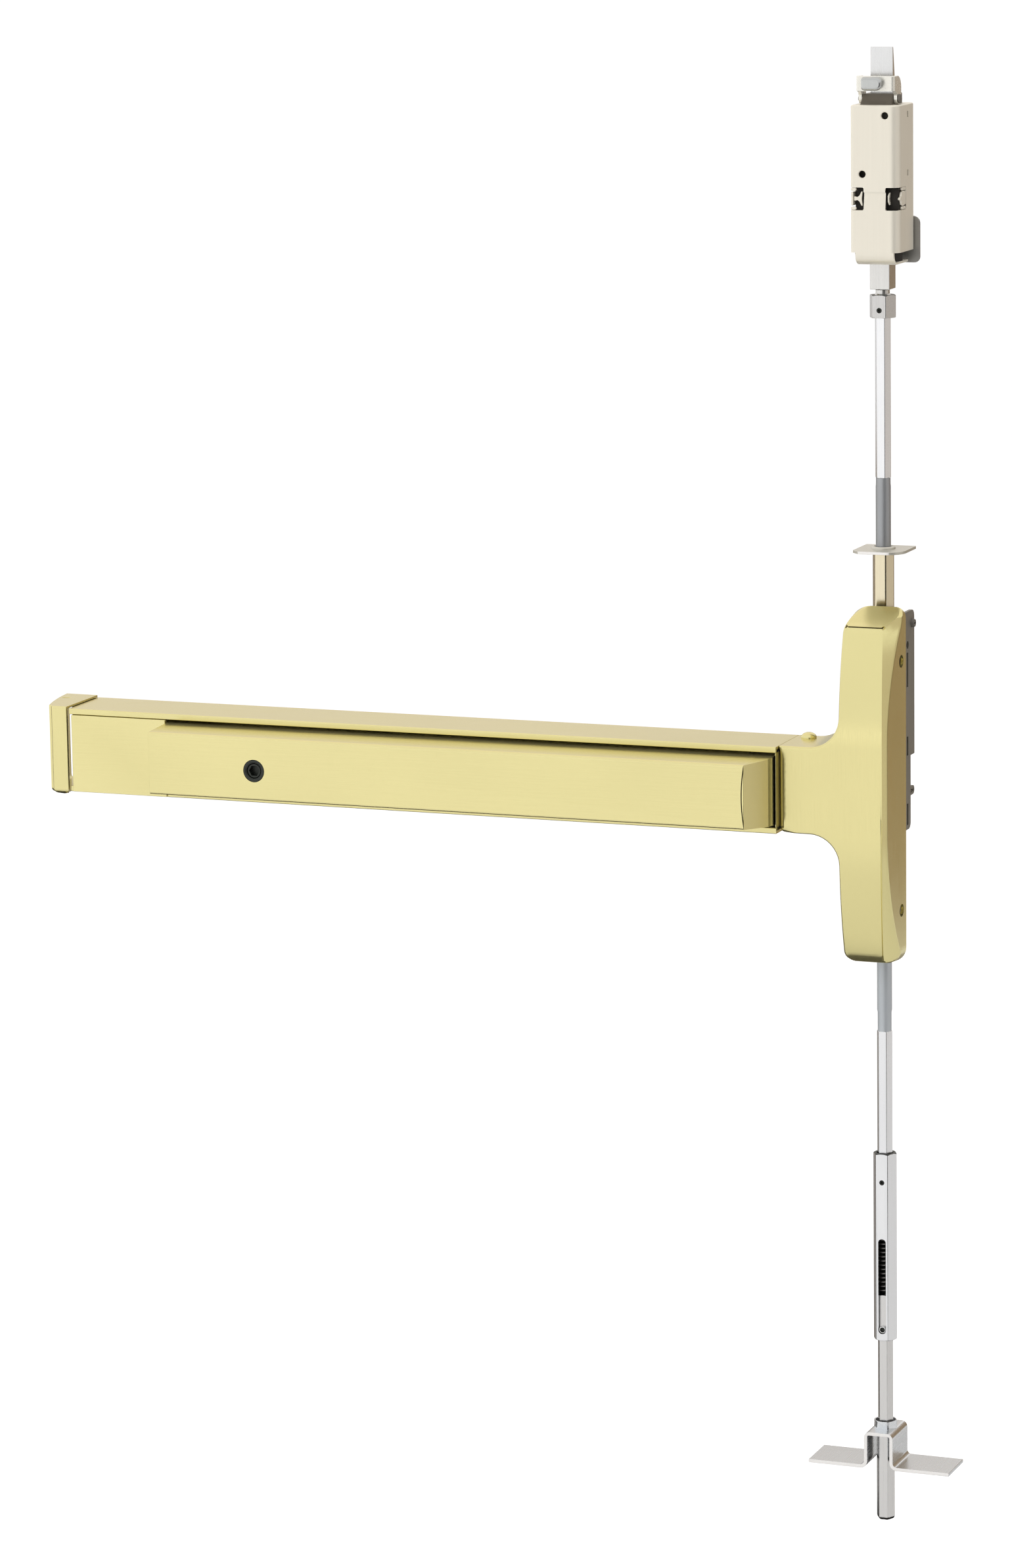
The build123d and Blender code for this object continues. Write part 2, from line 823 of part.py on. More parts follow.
# Filler plate over the rail's mouth left of the pad
with BuildPart() as rail_filler:
    filler_left = cap_inner_x + 4
    filler_right = pad_left - filler_gap
    face = -rail_depth - 0.1
    brick(filler_left, filler_right, face - filler_thick, face, -rail_half + 0.3, rail_mouth - 0.3)
    for level in (rail_mouth - 0.3, -rail_mouth + 0.3 + hook_thick):
        brick(filler_left, filler_right, face, hook_back, level - hook_thick, level)
save(rail_filler, "rail_filler")


# End cap: a shell open to the rail and to the door
def cap_outline(inset):
    """Plan outline of the end cap, or of its hollow when inset by the wall."""
    base = (cap_base_x + inset, inset)
    top = (cap_face_x + inset, cap_bulge_y + inset / 2)
    with BuildLine() as outline:
        Line((cap_inner_x + inset, inset), base)
        middle = ((base[0] + top[0]) / 2 - cap_bow, (base[1] + top[1]) / 2)
        ThreePointArc(base, middle, top)
        Line(top, (cap_corner_x + inset, cap_front + inset))
        Line((cap_corner_x + inset, cap_front + inset), (cap_inner_x + inset, cap_front + inset))
        Line((cap_inner_x + inset, cap_front + inset), (cap_inner_x + inset, inset))
    return outline.edges()


with BuildPart() as end_cap:
    with BuildSketch(Plane.XY.offset(-cap_half)):
        make_face(cap_outline(0))
    extrude(amount=2 * cap_half)
    with BuildSketch(Plane.XY.offset(-cap_half + cap_wall)):
        make_face(cap_outline(cap_wall))
    extrude(amount=2 * (cap_half - cap_wall), mode=Mode.SUBTRACT)
    with BuildSketch(Plane.XY.offset(cap_half)):
        with Locations((cap_screw_x, cap_screw_y)):
            Circle(cap_screw / 2)
    extrude(amount=-cap_wall, taper=cap_screw_taper, mode=Mode.SUBTRACT)
save(end_cap, "end_cap")

with BuildPart() as end_cap_screw:
    with BuildSketch(Plane.XY.offset(cap_half)):
        with Locations((cap_screw_x, cap_screw_y)):
            Circle(cap_screw / 2)
    extrude(amount=-cap_wall, taper=cap_screw_taper)
    with BuildSketch(Plane.XY.offset(cap_half - cap_wall)):
        with Locations((cap_screw_x, cap_screw_y)):
            Circle(small_shank / 2)
    extrude(amount=-foot_thick - 1)
    with BuildSketch(Plane.XY.offset(cap_half)):
        with Locations((cap_screw_x, cap_screw_y)):
            Rectangle(cap_screw * 0.7, 1)
    extrude(amount=-0.8, mode=Mode.SUBTRACT)
save(end_cap_screw, "end_cap_screw")

with BuildPart() as end_bracket:
    ear_top = cap_half - cap_wall
    brick(foot_left, rail_left - 0.1, -foot_thick, 0, -ear_top + 1, ear_top)
    land_edge, land_front = cap_screw_x + cap_land, cap_screw_y - cap_land_front
    brick(foot_left, land_edge, land_front, -foot_thick, ear_top - foot_thick, ear_top)
    brick(rail_left - 2.5, tongue_right, -rail_wall - sheet, -rail_wall, -tongue_half, tongue_half)
    with BuildSketch(facing(0)):
        with Locations((foot_hole_x, foot_hole_z), (foot_hole_x, -foot_hole_z)):
            Circle(mount_hole / 2)
    extrude(amount=foot_thick, mode=Mode.SUBTRACT)
    with BuildSketch(Plane.XY.offset(ear_top)):
        with Locations((cap_screw_x, cap_screw_y)):
            Circle(small_shank / 2)
    extrude(amount=-foot_thick, mode=Mode.SUBTRACT)
save(end_bracket, "end_bracket")

# Cranks: each turns the pad's travel into the bar's travel
pad_pin_x = -crank_pad_arm * cos(crank_half_swing)
bar_pin_x = -bar_travel / 2
bar_pin_y = crank_bar_arm * cos(crank_half_swing)
hub_reach = cheek_inner - slide_gap
cheek_outer = cheek_inner + plate_thick


def crank(x):
    """Two-armed crank with a pin for the pad carrier and a pin for the bar."""
    half = crank_thick / 2
    pivot = (x, crank_y)
    pad_pin = (x + pad_pin_x, pad_pin_y)
    bar_pin = (x + bar_pin_x, crank_y + bar_pin_y)
    with BuildPart() as piece:
        with BuildSketch(Plane.XY.offset(-half)):
            for end in (pad_pin, bar_pin):
                with BuildLine() as arm:
                    Line(pivot, end)
                trace(arm.line, line_width=2 * link_boss)
            with Locations(pivot):
                Circle(crank_hub)
        extrude(amount=crank_thick)
        with BuildSketch(Plane.XY.offset(-hub_reach)):
            with Locations(pivot):
                Circle(crank_hub)
        extrude(amount=2 * hub_reach)
        with BuildSketch(Plane.XY.offset(-hub_reach)):
            with Locations(pivot):
                Circle(link_pin / 2 + pin_gap)
        extrude(amount=2 * hub_reach, mode=Mode.SUBTRACT)
        with BuildSketch(Plane.XY):
            with Locations(pad_pin):
                Circle(link_pin / 2)
        extrude(amount=ear_z0 - 0.5)
        with BuildSketch(Plane.XY):
            with Locations(bar_pin):
                Circle(link_pin / 2)
        extrude(amount=bar_z1 + 0.5)
    return piece


for side, x in zip(("left", "right"), crank_xs):
    save(crank(x), f"crank_{side}")

for side, x in zip(("left", "right"), crank_xs):
    with BuildPart() as crank_bracket:
        base_front = -rail_wall - sheet
        foot_half = cheek_outer + cheek_foot
        left, right = x - cheek_half, x + cheek_half
        brick(left, right, base_front, -rail_wall, -foot_half, foot_half)
        nose_reach = crank_y - cheek_front
        for level in (-1, 1):
            with BuildSketch(Plane.XY.offset(level * cheek_inner)):
                panel(left, right, crank_y, base_front)
                with Locations((x, crank_y)):
                    Circle(nose_reach)
                    Circle(link_pin / 2 + pin_gap, mode=Mode.SUBTRACT)
            extrude(amount=level * plate_thick)
    save(crank_bracket, f"crank_bracket_{side}")

crank_pins = []
for x in crank_xs:
    with BuildPart() as crank_pin:
        with BuildSketch(Plane.XY.offset(-cheek_outer - 1)):
            with Locations((x, crank_y)):
                Circle(link_pin / 2)
        extrude(amount=2 * cheek_outer + 1)
        with BuildSketch(Plane.XY.offset(cheek_outer)):
            with Locations((x, crank_y)):
                Circle(link_pin * 0.8)
        extrude(amount=1.5)
    crank_pins.append(crank_pin.part)
group("crank_pivot_pins", crank_pins)

# Actuator bar: flat strip that both cranks slide towards the lift levers
bar_pin_reach = crank_y + crank_bar_arm
with BuildPart() as actuator_bar:
    with BuildSketch(Plane.XY.offset(bar_z0)):
        panel(bar_left, bar_right, bar_y0, bar_y1)
        for x in crank_xs:
            pin_x = x + bar_pin_x
            slot_front = crank_y + bar_pin_y - pin_room
            slot_back = bar_pin_reach + pin_room
            panel(pin_x - pin_room, pin_x + pin_room, slot_front, slot_back, Mode.SUBTRACT)
    extrude(amount=plate_thick)
save(actuator_bar, "actuator_bar")

# Transfer yoke: its end face pushes both lift levers' driving pins
yoke_right = pin_path_x - lever_pin / 2 - slide_gap
yoke_left = bar_right - yoke_grip
with BuildPart() as transfer_yoke:
    brick(yoke_left, yoke_right, yoke_y0, yoke_y1, -yoke_half, yoke_half)
    notch = bar_right + pin_gap
    brick(yoke_left, notch, yoke_y0, yoke_y1, bar_z0 - pin_gap, bar_z1 + pin_gap, Mode.SUBTRACT)
    flange = (bar_z1 + pin_gap, bar_z1 + pin_gap + 2)
    brick(yoke_left, notch, yoke_y0, yoke_y1 + 3, *flange)
    brick(yoke_left, notch, yoke_y0, yoke_y1 + 3, bar_z0 - pin_gap - 2, bar_z0 - pin_gap)
save(transfer_yoke, "transfer_yoke")

# Lift levers: each turns the yoke's push into a pull on one rod
rod_pin_x = lever_x - lever_arm * cos(lever_half_swing)
lever_hub_front = front_arm_y - 0.2
rear_arm_back = rear_arm_y + rear_arm_thick


def lift_lever(side):
    """Lever above the rail for side 1, and its mirror image below for side -1."""
    pivot = (lever_x, side * lever_z)
    drive = (pin_path_x, side * pin_path_z)
    lift = (rod_pin_x, side * (lever_z + rod_travel / 2))
    with BuildPart() as piece:
        with BuildSketch(facing(lever_hub_front)):
            with Locations(pivot):
                Circle(lever_hub)
        extrude(amount=lever_hub_front - rear_arm_back)
        for y, thick, end, reach in (
            (front_arm_y, front_arm_thick, drive, yoke_y0),
            (rear_arm_y, rear_arm_thick, lift, rod_y),
        ):
            with BuildSketch(facing(y)):
                with BuildLine() as arm:
                    Line(pivot, end)
                trace(arm.line, line_width=lever_pin + 1)
            extrude(amount=-thick)
            with BuildSketch(facing(y + thick / 2)):
                with Locations(end):
                    Circle(lever_pin / 2)
            extrude(amount=y + thick / 2 - reach)
        with BuildSketch(facing(lever_hub_front)):
            with Locations(pivot):
                Circle(lever_pivot / 2 + pin_gap)
        extrude(amount=lever_hub_front - rear_arm_back, mode=Mode.SUBTRACT)
    return piece


save(lift_lever(1), "lift_lever_upper")
save(lift_lever(-1), "lift_lever_lower")

lever_pivots = []
for x, z in pivot_places:
    with BuildPart() as lever_pivot_pin:
        with BuildSketch(centred(facing(pivot_back), x, z)):
            Circle(lever_pivot / 2)
        extrude(amount=pivot_back + sheet)
        with BuildSketch(centred(facing(-sheet), x, z)):
            Circle(lever_pivot * 0.8)
        extrude(amount=1.5)
    lever_pivots.append(lever_pivot_pin.part)
group("lever_pivots", lever_pivots)


# Lift blocks: screwed on the rods' inner ends, slotted for the levers' pins
def lift_block(side):
    """Block on the top rod for side 1, on the bottom rod for side -1."""
    with BuildPart() as piece:
        brick(-block_half, block_half, block_front, block_back, side * block_low, side * block_high)
        pin_z = side * (lever_z + rod_travel / 2)
        rise = lever_pin / 2 + slide_gap
        brick(
            -block_slot_half,
            block_slot_half,
            block_front,
            block_slot_deep,
            pin_z - rise,
            pin_z + rise,
            Mode.SUBTRACT,
        )
        with BuildSketch(rod_section(side * (block_high - stud_length))):
            Circle(stud_end / 2)
        extrude(amount=side * stud_length, mode=Mode.SUBTRACT)
    return piece


save(lift_block(1), "lift_block_upper")
save(lift_block(-1), "lift_block_lower")


# Rods: a threaded round stretch that turns into hexagon bar
def rod(side, thread_end, end):
    """Rod screwed into a lift block, from its stud to its far end."""
    with BuildPart() as piece:
        with BuildSketch(rod_section(side * (block_high - stud_length))):
            Circle(stud_end / 2)
        extrude(amount=side * stud_length)
        with BuildSketch(rod_section(side * block_high)):
            Circle(thread_diameter / 2)
        extrude(amount=thread_end - side * block_high)
        with BuildSketch(rod_section(thread_end)):
            hexagon(rod_flats)
        extrude(amount=end - thread_end)
    return piece


save(rod(1, top_thread_end, top_rod_end), "top_rod")
save(rod(-1, low_thread_end, low_rod_end), "bottom_rod")

# Fixed guide tube of the top rod, its clamp in the frame and the guide plate above
with BuildPart() as rod_tube:
    with BuildSketch(rod_section(clamp_low)):
        hexagon(tube_flats)
        Circle(thread_diameter / 2 + slide_gap + 0.1, mode=Mode.SUBTRACT)
    extrude(amount=guide_z - clamp_low)
save(rod_tube, "rod_tube")

clamp_gap = 0.1
with BuildPart() as tube_clamp:
    left, right = chassis_left + sheet + clamp_gap, chassis_right - sheet - clamp_gap
    brick(left, right, sheet + clamp_gap, chassis_depth - 0.5, clamp_low, clamp_high)
    with BuildSketch(rod_section(clamp_low)):
        hexagon(tube_flats)
    extrude(amount=clamp_high - clamp_low, mode=Mode.SUBTRACT)
    with BuildSketch(centred(Plane.YZ.offset(left), clamp_screw_y, clamp_screw_z)):
        Circle(small_shank / 2)
    extrude(amount=right - left, mode=Mode.SUBTRACT)
save(tube_clamp, "tube_clamp")

clamp_screws = []
for plane in (Plane.YZ.offset(chassis_right), Plane.YZ.offset(chassis_left)):
    outward = 1 if plane.origin.X > 0 else -1
    seat = centred(plane, clamp_screw_y, clamp_screw_z)
    facing_out = Plane(origin=seat.origin, x_dir=(0, 1, 0), z_dir=(outward, 0, 0))
    clamp_screws.append(pan_screw(facing_out, clamp_screw, 2.4, small_shank, sheet + 3))
group("clamp_screws", clamp_screws)

with BuildPart() as guide_plate:
    with BuildSketch(Plane.XY.offset(guide_z)):
        front, back = rod_y - guide_half, rod_y + guide_half
        clip = guide_half * 0.3
        points = [(-guide_half, front + clip), (-guide_half + clip, front), (guide_half, front)]
        points += [(guide_half, back), (-guide_half, back)]
        with BuildLine():
            FilletPolyline(*points, radius=[1, 1, guide_corner, 1, 1], close=True)
        make_face()
        with Locations((0, rod_y)):
            Circle(guide_hole / 2, mode=Mode.SUBTRACT)
    extrude(amount=guide_thick)
save(guide_plate, "guide_plate")

# Coupling nut between the top rod and the stud of the connecting block
with BuildPart() as coupling_nut:
    with BuildSketch(rod_section(nut_low)):
        hexagon(nut_flats)
    extrude(amount=nut_high - nut_low)
    with BuildSketch(rod_section(nut_low)):
        hexagon(rod_flats)
    extrude(amount=top_rod_end - nut_low, mode=Mode.SUBTRACT)
    with BuildSketch(rod_section(top_rod_end)):
        Circle(stud_diameter / 2)
    extrude(amount=nut_high - top_rod_end, mode=Mode.SUBTRACT)
    with BuildSketch(centred(facing(rod_y - rod_flats / 2), 0, nut_screw_z)):
        Circle(set_screw / 2)
    extrude(amount=nut_flats / 2, mode=Mode.SUBTRACT)
save(coupling_nut, "coupling_nut")

with BuildPart() as connecting_block:
    with BuildSketch(rod_section(top_rod_end + 0.3)):
        Circle(stud_diameter / 2)
    extrude(amount=link_block_low - top_rod_end - 0.3)
    with BuildSketch(rod_section(link_block_low)):
        Rectangle(link_block, link_block)
    extrude(amount=link_block_high - link_block_low)
save(connecting_block, "connecting_block")

# Bolt carrier and top bolt, which slide inside the latch case
bolt_foot = carrier_high - bolt_grip
bolt_back = bolt_front + bolt_thick
with BuildPart() as bolt_carrier:
    brick(
        -latch_carrier_half,
        latch_carrier_half,
        latch_carrier_front,
        latch_carrier_back,
        link_block_high,
        carrier_high,
    )
    brick(-bolt_half, bolt_half, bolt_front, bolt_back, bolt_foot, carrier_high, Mode.SUBTRACT)
save(bolt_carrier, "bolt_carrier")

with BuildPart() as top_bolt:
    with BuildSketch(Plane.YZ.offset(-bolt_half)):
        with BuildLine():
            Polyline(
                (bolt_front, bolt_foot),
                (bolt_back, bolt_foot),
                (bolt_back, bolt_tip - bolt_bevel),
                (bolt_front + bolt_tip_thick, bolt_tip),
                (bolt_front, bolt_tip),
                close=True,
            )
        make_face()
    extrude(amount=2 * bolt_half)
save(top_bolt, "top_bolt")

# Latch case: a folded sheet open at the back, its front running down to a floor
inner_half = case_half - case_wall
with BuildPart() as latch_case:
    with BuildSketch(Plane.XY.offset(case_low)):
        panel(-case_half, case_half, case_front, case_back)
        panel(-inner_half, inner_half, case_front + case_wall, case_back, Mode.SUBTRACT)
    extrude(amount=case_high - case_low)
    with BuildSketch(Plane.YZ.offset(-lip_half)):
        with BuildLine() as fold:
            FilletPolyline(
                (case_front + case_wall / 2, case_low + 1),
                (case_front + case_wall / 2, lip_low + case_wall / 2),
                (floor_back, lip_low + case_wall / 2),
                radius=lip_round,
            )
        trace(fold.line, line_width=case_wall)
    extrude(amount=2 * lip_half)
    with BuildSketch(rod_section(lip_low - 1)):
        Rectangle(floor_hole, floor_hole)
    extrude(amount=case_wall + 2, mode=Mode.SUBTRACT)
    for side in (-1, 1):
        corner = (side * window_inner, side * (case_half + 1))
        y0, y1 = case_front - 1, case_front + case_wall
        brick(*corner, y0, y1, window_low, window_high, Mode.SUBTRACT)
        wall = (side * (inner_half - 1), side * (case_half + 1))
        brick(*wall, case_front - 1, window_side, window_low, window_high, Mode.SUBTRACT)
        for z in (case_slot_high, case_slot_low):
            low, high = z - case_slot_tall / 2, z + case_slot_tall / 2
            y0, y1 = case_slot_y - case_slot_wide / 2, case_slot_y + case_slot_wide / 2
            brick(*wall, y0, y1, low, high, Mode.SUBTRACT)
    with BuildSketch(facing(case_front + case_wall)):
        with Locations((case_hole_right_x, case_slot_high), (case_hole_left_x, case_slot_low)):
            Circle(case_hole / 2)
    extrude(amount=case_wall, mode=Mode.SUBTRACT)
save(latch_case, "latch_case")

# Lugs welded inside the case, seen through its corner windows
lugs = []
for side in (-1, 1):
    with BuildPart() as case_lug:
        wall, inner = side * inner_half, side * (latch_carrier_half + slide_gap)
        stem_low, stem_high = window_low + lug_step, window_high - lug_step
        brick(inner, wall, lug_front, lug_back, stem_low, stem_high)
        bar_low, bar_high = window_low + 2 * slide_gap, window_high - 2 * slide_gap
        brick(side * lug_reach, wall, lug_front, lug_front + case_wall, bar_low, bar_high)
        brick(side * (case_half - 0.4), wall, lug_front, window_side - 0.4, stem_low, stem_high)
    lugs.append(case_lug.part)
group("case_lugs", lugs)

with BuildPart() as case_top_plate:
    brick(-case_half, case_half, case_front, case_back, case_high, case_high + case_top_thick)
    brick(
        -guide_body_half - 0.2,
        guide_body_half + 0.2,
        guide_body_front - 0.2,
        guide_body_back + 0.2,
        case_high,
        case_high + case_top_thick,
        Mode.SUBTRACT,
    )
save(case_top_plate, "case_top_plate")

# Bolt guide: moulded body in the top of the case that the bolt slides through
guide_nose_z = case_high + case_top_thick
guide_nose_rise = guide_body_high - guide_nose_z
bolt_room = bolt_half + slide_gap
with BuildPart() as bolt_guide:
    brick(
        -inner_half + 0.1,
        inner_half - 0.1,
        case_front + case_wall + 0.1,
        case_back - 2,
        guide_body_low,
        case_high,
    )
    with BuildSketch(Plane.YZ.offset(-guide_body_half)):
        with BuildLine():
            Polyline(
                (guide_body_front, case_high - 1),
                (guide_body_front, guide_nose_z),
                (guide_body_front + guide_nose_rise * 0.9, guide_body_high),
                (guide_body_back, guide_body_high),
                (guide_body_back, case_high - 1),
                close=True,
            )
        make_face()
    extrude(amount=2 * guide_body_half)
    room_front, room_back = bolt_front - slide_gap, bolt_back + slide_gap
    brick(
        -bolt_room, bolt_room, room_front, room_back, guide_body_low, guide_body_high, Mode.SUBTRACT
    )
    with BuildSketch(centred(Plane.YZ.offset(-guide_body_half), trip_y, trip_z)):
        Circle(trip_pin / 2 + pin_gap)
    extrude(amount=2 * guide_body_half, mode=Mode.SUBTRACT)
save(bolt_guide, "bolt_guide")

# Back plate that screws the case to the door's edge channel
with BuildPart() as case_back_plate:
    with BuildSketch(facing(case_back + case_wall + 0.1)):
        middle = (back_plate_low + back_plate_high) / 2
        tall = back_plate_high - back_plate_low
        with Locations((0, middle)):
            RectangleRounded(2 * back_plate_half, tall, back_plate_round)
    extrude(amount=case_wall)
save(case_back_plate, "case_back_plate")

case_spring_floor = lip_low + case_wall
case_spring_room = link_block_high - case_spring_floor
case_seat = rod_section(case_spring_floor)
save(coil(case_seat, case_outer, case_wire, case_spring_room, case_pitch), "case_spring")

# Trip lever: strap across the case's top that the frame tips back as the door shuts
trip_inner = trip_half - trip_sheet
with BuildPart() as trip_lever:
    with BuildSketch(Plane.YZ.offset(-trip_half)):
        with BuildLine():
            Polyline(
                (trip_front, trip_low),
                (trip_front, trip_high),
                (trip_back, trip_high),
                (trip_back, trip_low + 3),
                (trip_y + trip_ear, trip_z),
                (trip_y - trip_ear, trip_z),
                (trip_y - trip_ear, trip_low),
                close=True,
            )
        make_face()
        with Locations((trip_y, trip_z)):
            Circle(trip_ear)
    extrude(amount=2 * trip_half)
    brick(
        -trip_inner,
        trip_inner,
        trip_front + trip_sheet,
        trip_back + 10,
        trip_z - 10,
        trip_high + 1,
        Mode.SUBTRACT,
    )
    brick(-trip_inner, trip_inner, trip_front, trip_back, trip_z - 10, trip_low, Mode.SUBTRACT)
    with BuildSketch(centred(Plane.YZ.offset(-trip_half), trip_y, trip_z)):
        Circle(trip_pin / 2 + pin_gap)
    extrude(amount=2 * trip_half, mode=Mode.SUBTRACT)
save(trip_lever, "trip_lever")

with BuildPart() as trip_pivot_pin:
    with BuildSketch(centred(Plane.YZ.offset(-trip_half - 0.8), trip_y, trip_z)):
        Circle(trip_pin / 2)
    extrude(amount=2 * trip_half + 1.1)
    with BuildSketch(centred(Plane.YZ.offset(trip_half + slide_gap), trip_y, trip_z)):
        Circle(trip_pin)
    extrude(amount=2)
save(trip_pivot_pin, "trip_pivot_pin")

with BuildPart() as trip_bumper:
    with BuildSketch(Plane.XY.offset(trip_low)):
        with BuildLine():
            left, right = (nose_x - nose_half, trip_front), (nose_x + nose_half, trip_front)
            ThreePointArc(left, (nose_x, trip_front - nose_bulge), right)
            Line(right, left)
        make_face()
    extrude(amount=trip_high - trip_low)
    fillet(trip_bumper.edges().filter_by(GeomType.CIRCLE), radius=1)
save(trip_bumper, "trip_bumper")

# Adjusting sleeve: fixed on the bottom rod, slotted for the bolt shaft's keeper screw
with BuildPart() as adjusting_sleeve:
    with BuildSketch(rod_section(sleeve_low)):
        hexagon(sleeve_flats)
        Circle(sleeve_bore / 2, mode=Mode.SUBTRACT)
    extrude(amount=sleeve_high - sleeve_low)
    slot_front, slot_back = rod_y - sleeve_flats / 2 - 1, rod_y - 1
    with BuildSketch(facing(slot_back)):
        with Locations((0, (slot_high + slot_low) / 2)):
            SlotOverall(slot_high - slot_low, slot_width, rotation=90)
    extrude(amount=slot_back - slot_front, mode=Mode.SUBTRACT)
    with BuildSketch(centred(facing(slot_back), 0, sleeve_hole_z)):
        Circle(set_screw / 2)
    extrude(amount=slot_back - slot_front, mode=Mode.SUBTRACT)
save(adjusting_sleeve, "adjusting_sleeve")

set_screws = []
for z, outside in ((nut_screw_z, nut_flats), (sleeve_hole_z, sleeve_flats)):
    with BuildPart() as set_screw_piece:
        with BuildSketch(centred(facing(rod_y - rod_flats / 2), 0, z)):
            Circle(set_screw / 2)
        extrude(amount=(outside - rod_flats) / 2)
        with BuildSketch(centred(facing(rod_y - outside / 2), 0, z)):
            RegularPolygon(set_screw_key, 6)
        extrude(amount=-set_screw_deep, mode=Mode.SUBTRACT)
    set_screws.append(set_screw_piece.part)
set_screw_names = ("nut_set_screw", "sleeve_set_screw")
for name, screw in zip(set_screw_names, set_screws):
    group(name, [screw])

# Bottom bolt on a hexagon shaft, sprung down inside the sleeve
with BuildPart() as bolt_shaft:
    with BuildSketch(rod_section(bolt_top)):
        hexagon(rod_flats)
    extrude(amount=shaft_top - bolt_top)
    with BuildSketch(rod_section(bolt_top)):
        Circle(stud_end / 2)
    extrude(amount=-stud_length)
    with BuildSketch(centred(facing(rod_y), 0, keeper_screw_z)):
        Circle(small_shank / 2)
    extrude(amount=rod_flats / 2, mode=Mode.SUBTRACT)
save(bolt_shaft, "bolt_shaft")

with BuildPart() as keeper_screw:
    with BuildSketch(centred(facing(rod_y), 0, keeper_screw_z)):
        Circle(small_shank / 2)
    extrude(amount=rod_flats / 2)
    with BuildSketch(centred(facing(rod_y - rod_flats / 2), 0, keeper_screw_z)):
        Circle(slot_width / 2 - slide_gap)
    extrude(amount=keeper_height)
    with BuildSketch(centred(facing(rod_y - rod_flats / 2 - keeper_height), 0, keeper_screw_z)):
        Rectangle(slot_width * 0.6, 0.9)
    extrude(amount=-0.8, mode=Mode.SUBTRACT)
save(keeper_screw, "keeper_screw")

with BuildPart() as bottom_bolt:
    with BuildSketch(rod_section(bolt_low)):
        hexagon(bolt_flats)
    extrude(amount=bolt_top - bolt_low)
    rounded = bottom_bolt.faces().sort_by(Axis.Z)[0].edges()
    chamfer(rounded, length=bolt_end_round * 0.6, length2=bolt_end_round)
    with BuildSketch(rod_section(bolt_top)):
        Circle(stud_end / 2)
    extrude(amount=-stud_length, mode=Mode.SUBTRACT)
save(bottom_bolt, "bottom_bolt")

bolt_spring_room = low_rod_end - shaft_top
bolt_seat = rod_section(shaft_top)
save(coil(bolt_seat, bolt_outer, bolt_wire, bolt_spring_room, bolt_pitch), "bolt_spring")

# Bottom guide: folded bracket with two wings, and the bushing that the bolt runs in
with BuildPart() as bottom_guide_bracket:
    with BuildSketch(facing(guide_front)):
        top_line = guide_top - guide_sheet / 2
        wing_line = guide_wing_top - guide_sheet / 2
        leg = guide_channel_half - guide_sheet / 2
        with BuildLine() as hat:
            FilletPolyline(
                (-guide_reach, wing_line),
                (-leg, wing_line),
                (-leg, top_line),
                (leg, top_line),
                (leg, wing_line),
                (guide_reach, wing_line),
                radius=[guide_bend, guide_top_bend, guide_top_bend, guide_bend],
            )
        trace(hat.line, line_width=guide_sheet)
    extrude(amount=-guide_depth)
    with BuildSketch(rod_section(guide_top)):
        Circle(bolt_passage / 2)
    extrude(amount=-guide_sheet, mode=Mode.SUBTRACT)
    with BuildSketch(rod_section(guide_top - guide_sheet)):
        Circle(bushing_outer / 2)
    extrude(amount=-bushing_length, mode=Mode.SUBTRACT)
    with BuildSketch(Plane.XY.offset(guide_wing_top)):
        with Locations((wing_hole_x, rod_y), (-wing_hole_x, rod_y)):
            Circle(mount_hole / 2)
    extrude(amount=-guide_sheet, mode=Mode.SUBTRACT)
save(bottom_guide_bracket, "bottom_guide_bracket")

with BuildPart() as guide_bushing:
    with BuildSketch(rod_section(guide_top - guide_sheet)):
        Circle(bushing_outer / 2)
        Circle(bolt_passage / 2, mode=Mode.SUBTRACT)
    extrude(amount=-bushing_length)
save(guide_bushing, "guide_bushing")
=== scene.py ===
from math import atan2, cos, pi, radians, sin, sqrt, tan

import bmesh
import bpy
from mathutils import Matrix, Vector
from mathutils.geometry import delaunay_2d_cdt, tessellate_polygon


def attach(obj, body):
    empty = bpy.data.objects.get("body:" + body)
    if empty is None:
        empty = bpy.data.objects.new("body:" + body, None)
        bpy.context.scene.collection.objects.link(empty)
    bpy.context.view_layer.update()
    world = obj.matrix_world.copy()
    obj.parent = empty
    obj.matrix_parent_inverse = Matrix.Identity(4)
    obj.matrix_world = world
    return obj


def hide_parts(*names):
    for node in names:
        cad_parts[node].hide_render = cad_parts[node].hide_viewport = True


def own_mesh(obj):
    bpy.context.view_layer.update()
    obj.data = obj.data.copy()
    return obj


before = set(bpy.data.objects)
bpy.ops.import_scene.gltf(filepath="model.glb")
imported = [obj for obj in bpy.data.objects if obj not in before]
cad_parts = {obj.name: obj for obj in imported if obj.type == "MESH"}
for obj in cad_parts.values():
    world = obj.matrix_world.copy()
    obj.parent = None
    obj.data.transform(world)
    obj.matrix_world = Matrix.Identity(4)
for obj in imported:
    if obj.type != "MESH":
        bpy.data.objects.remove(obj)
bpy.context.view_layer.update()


# Camera: a long lens that stands in front of the door, a little to the right of the rods and above
# them, and leans a touch. Its lens is worked out for a picture of 1540 by 2385.
turn, lift, lean = radians(21.77), radians(10.7), radians(-0.9)
aim, stand_off = Vector((-0.30913, 0, -0.01856)), 4.35569
picture_high, focal_pixels, film_high = 2385, 8298.13, 36
back = Vector((sin(turn) * cos(lift), -cos(turn) * cos(lift), sin(lift)))
level = (-back).cross(Vector((0, 0, 1))).normalized()
upright = level.cross(-back)
across = level * cos(lean) + upright * sin(lean)
upward = upright * cos(lean) - level * sin(lean)
spot = aim + back * stand_off
lens = bpy.data.cameras.new("long_lens")
lens.sensor_fit = "VERTICAL"
lens.sensor_height = film_high
lens.lens = film_high * focal_pixels / picture_high
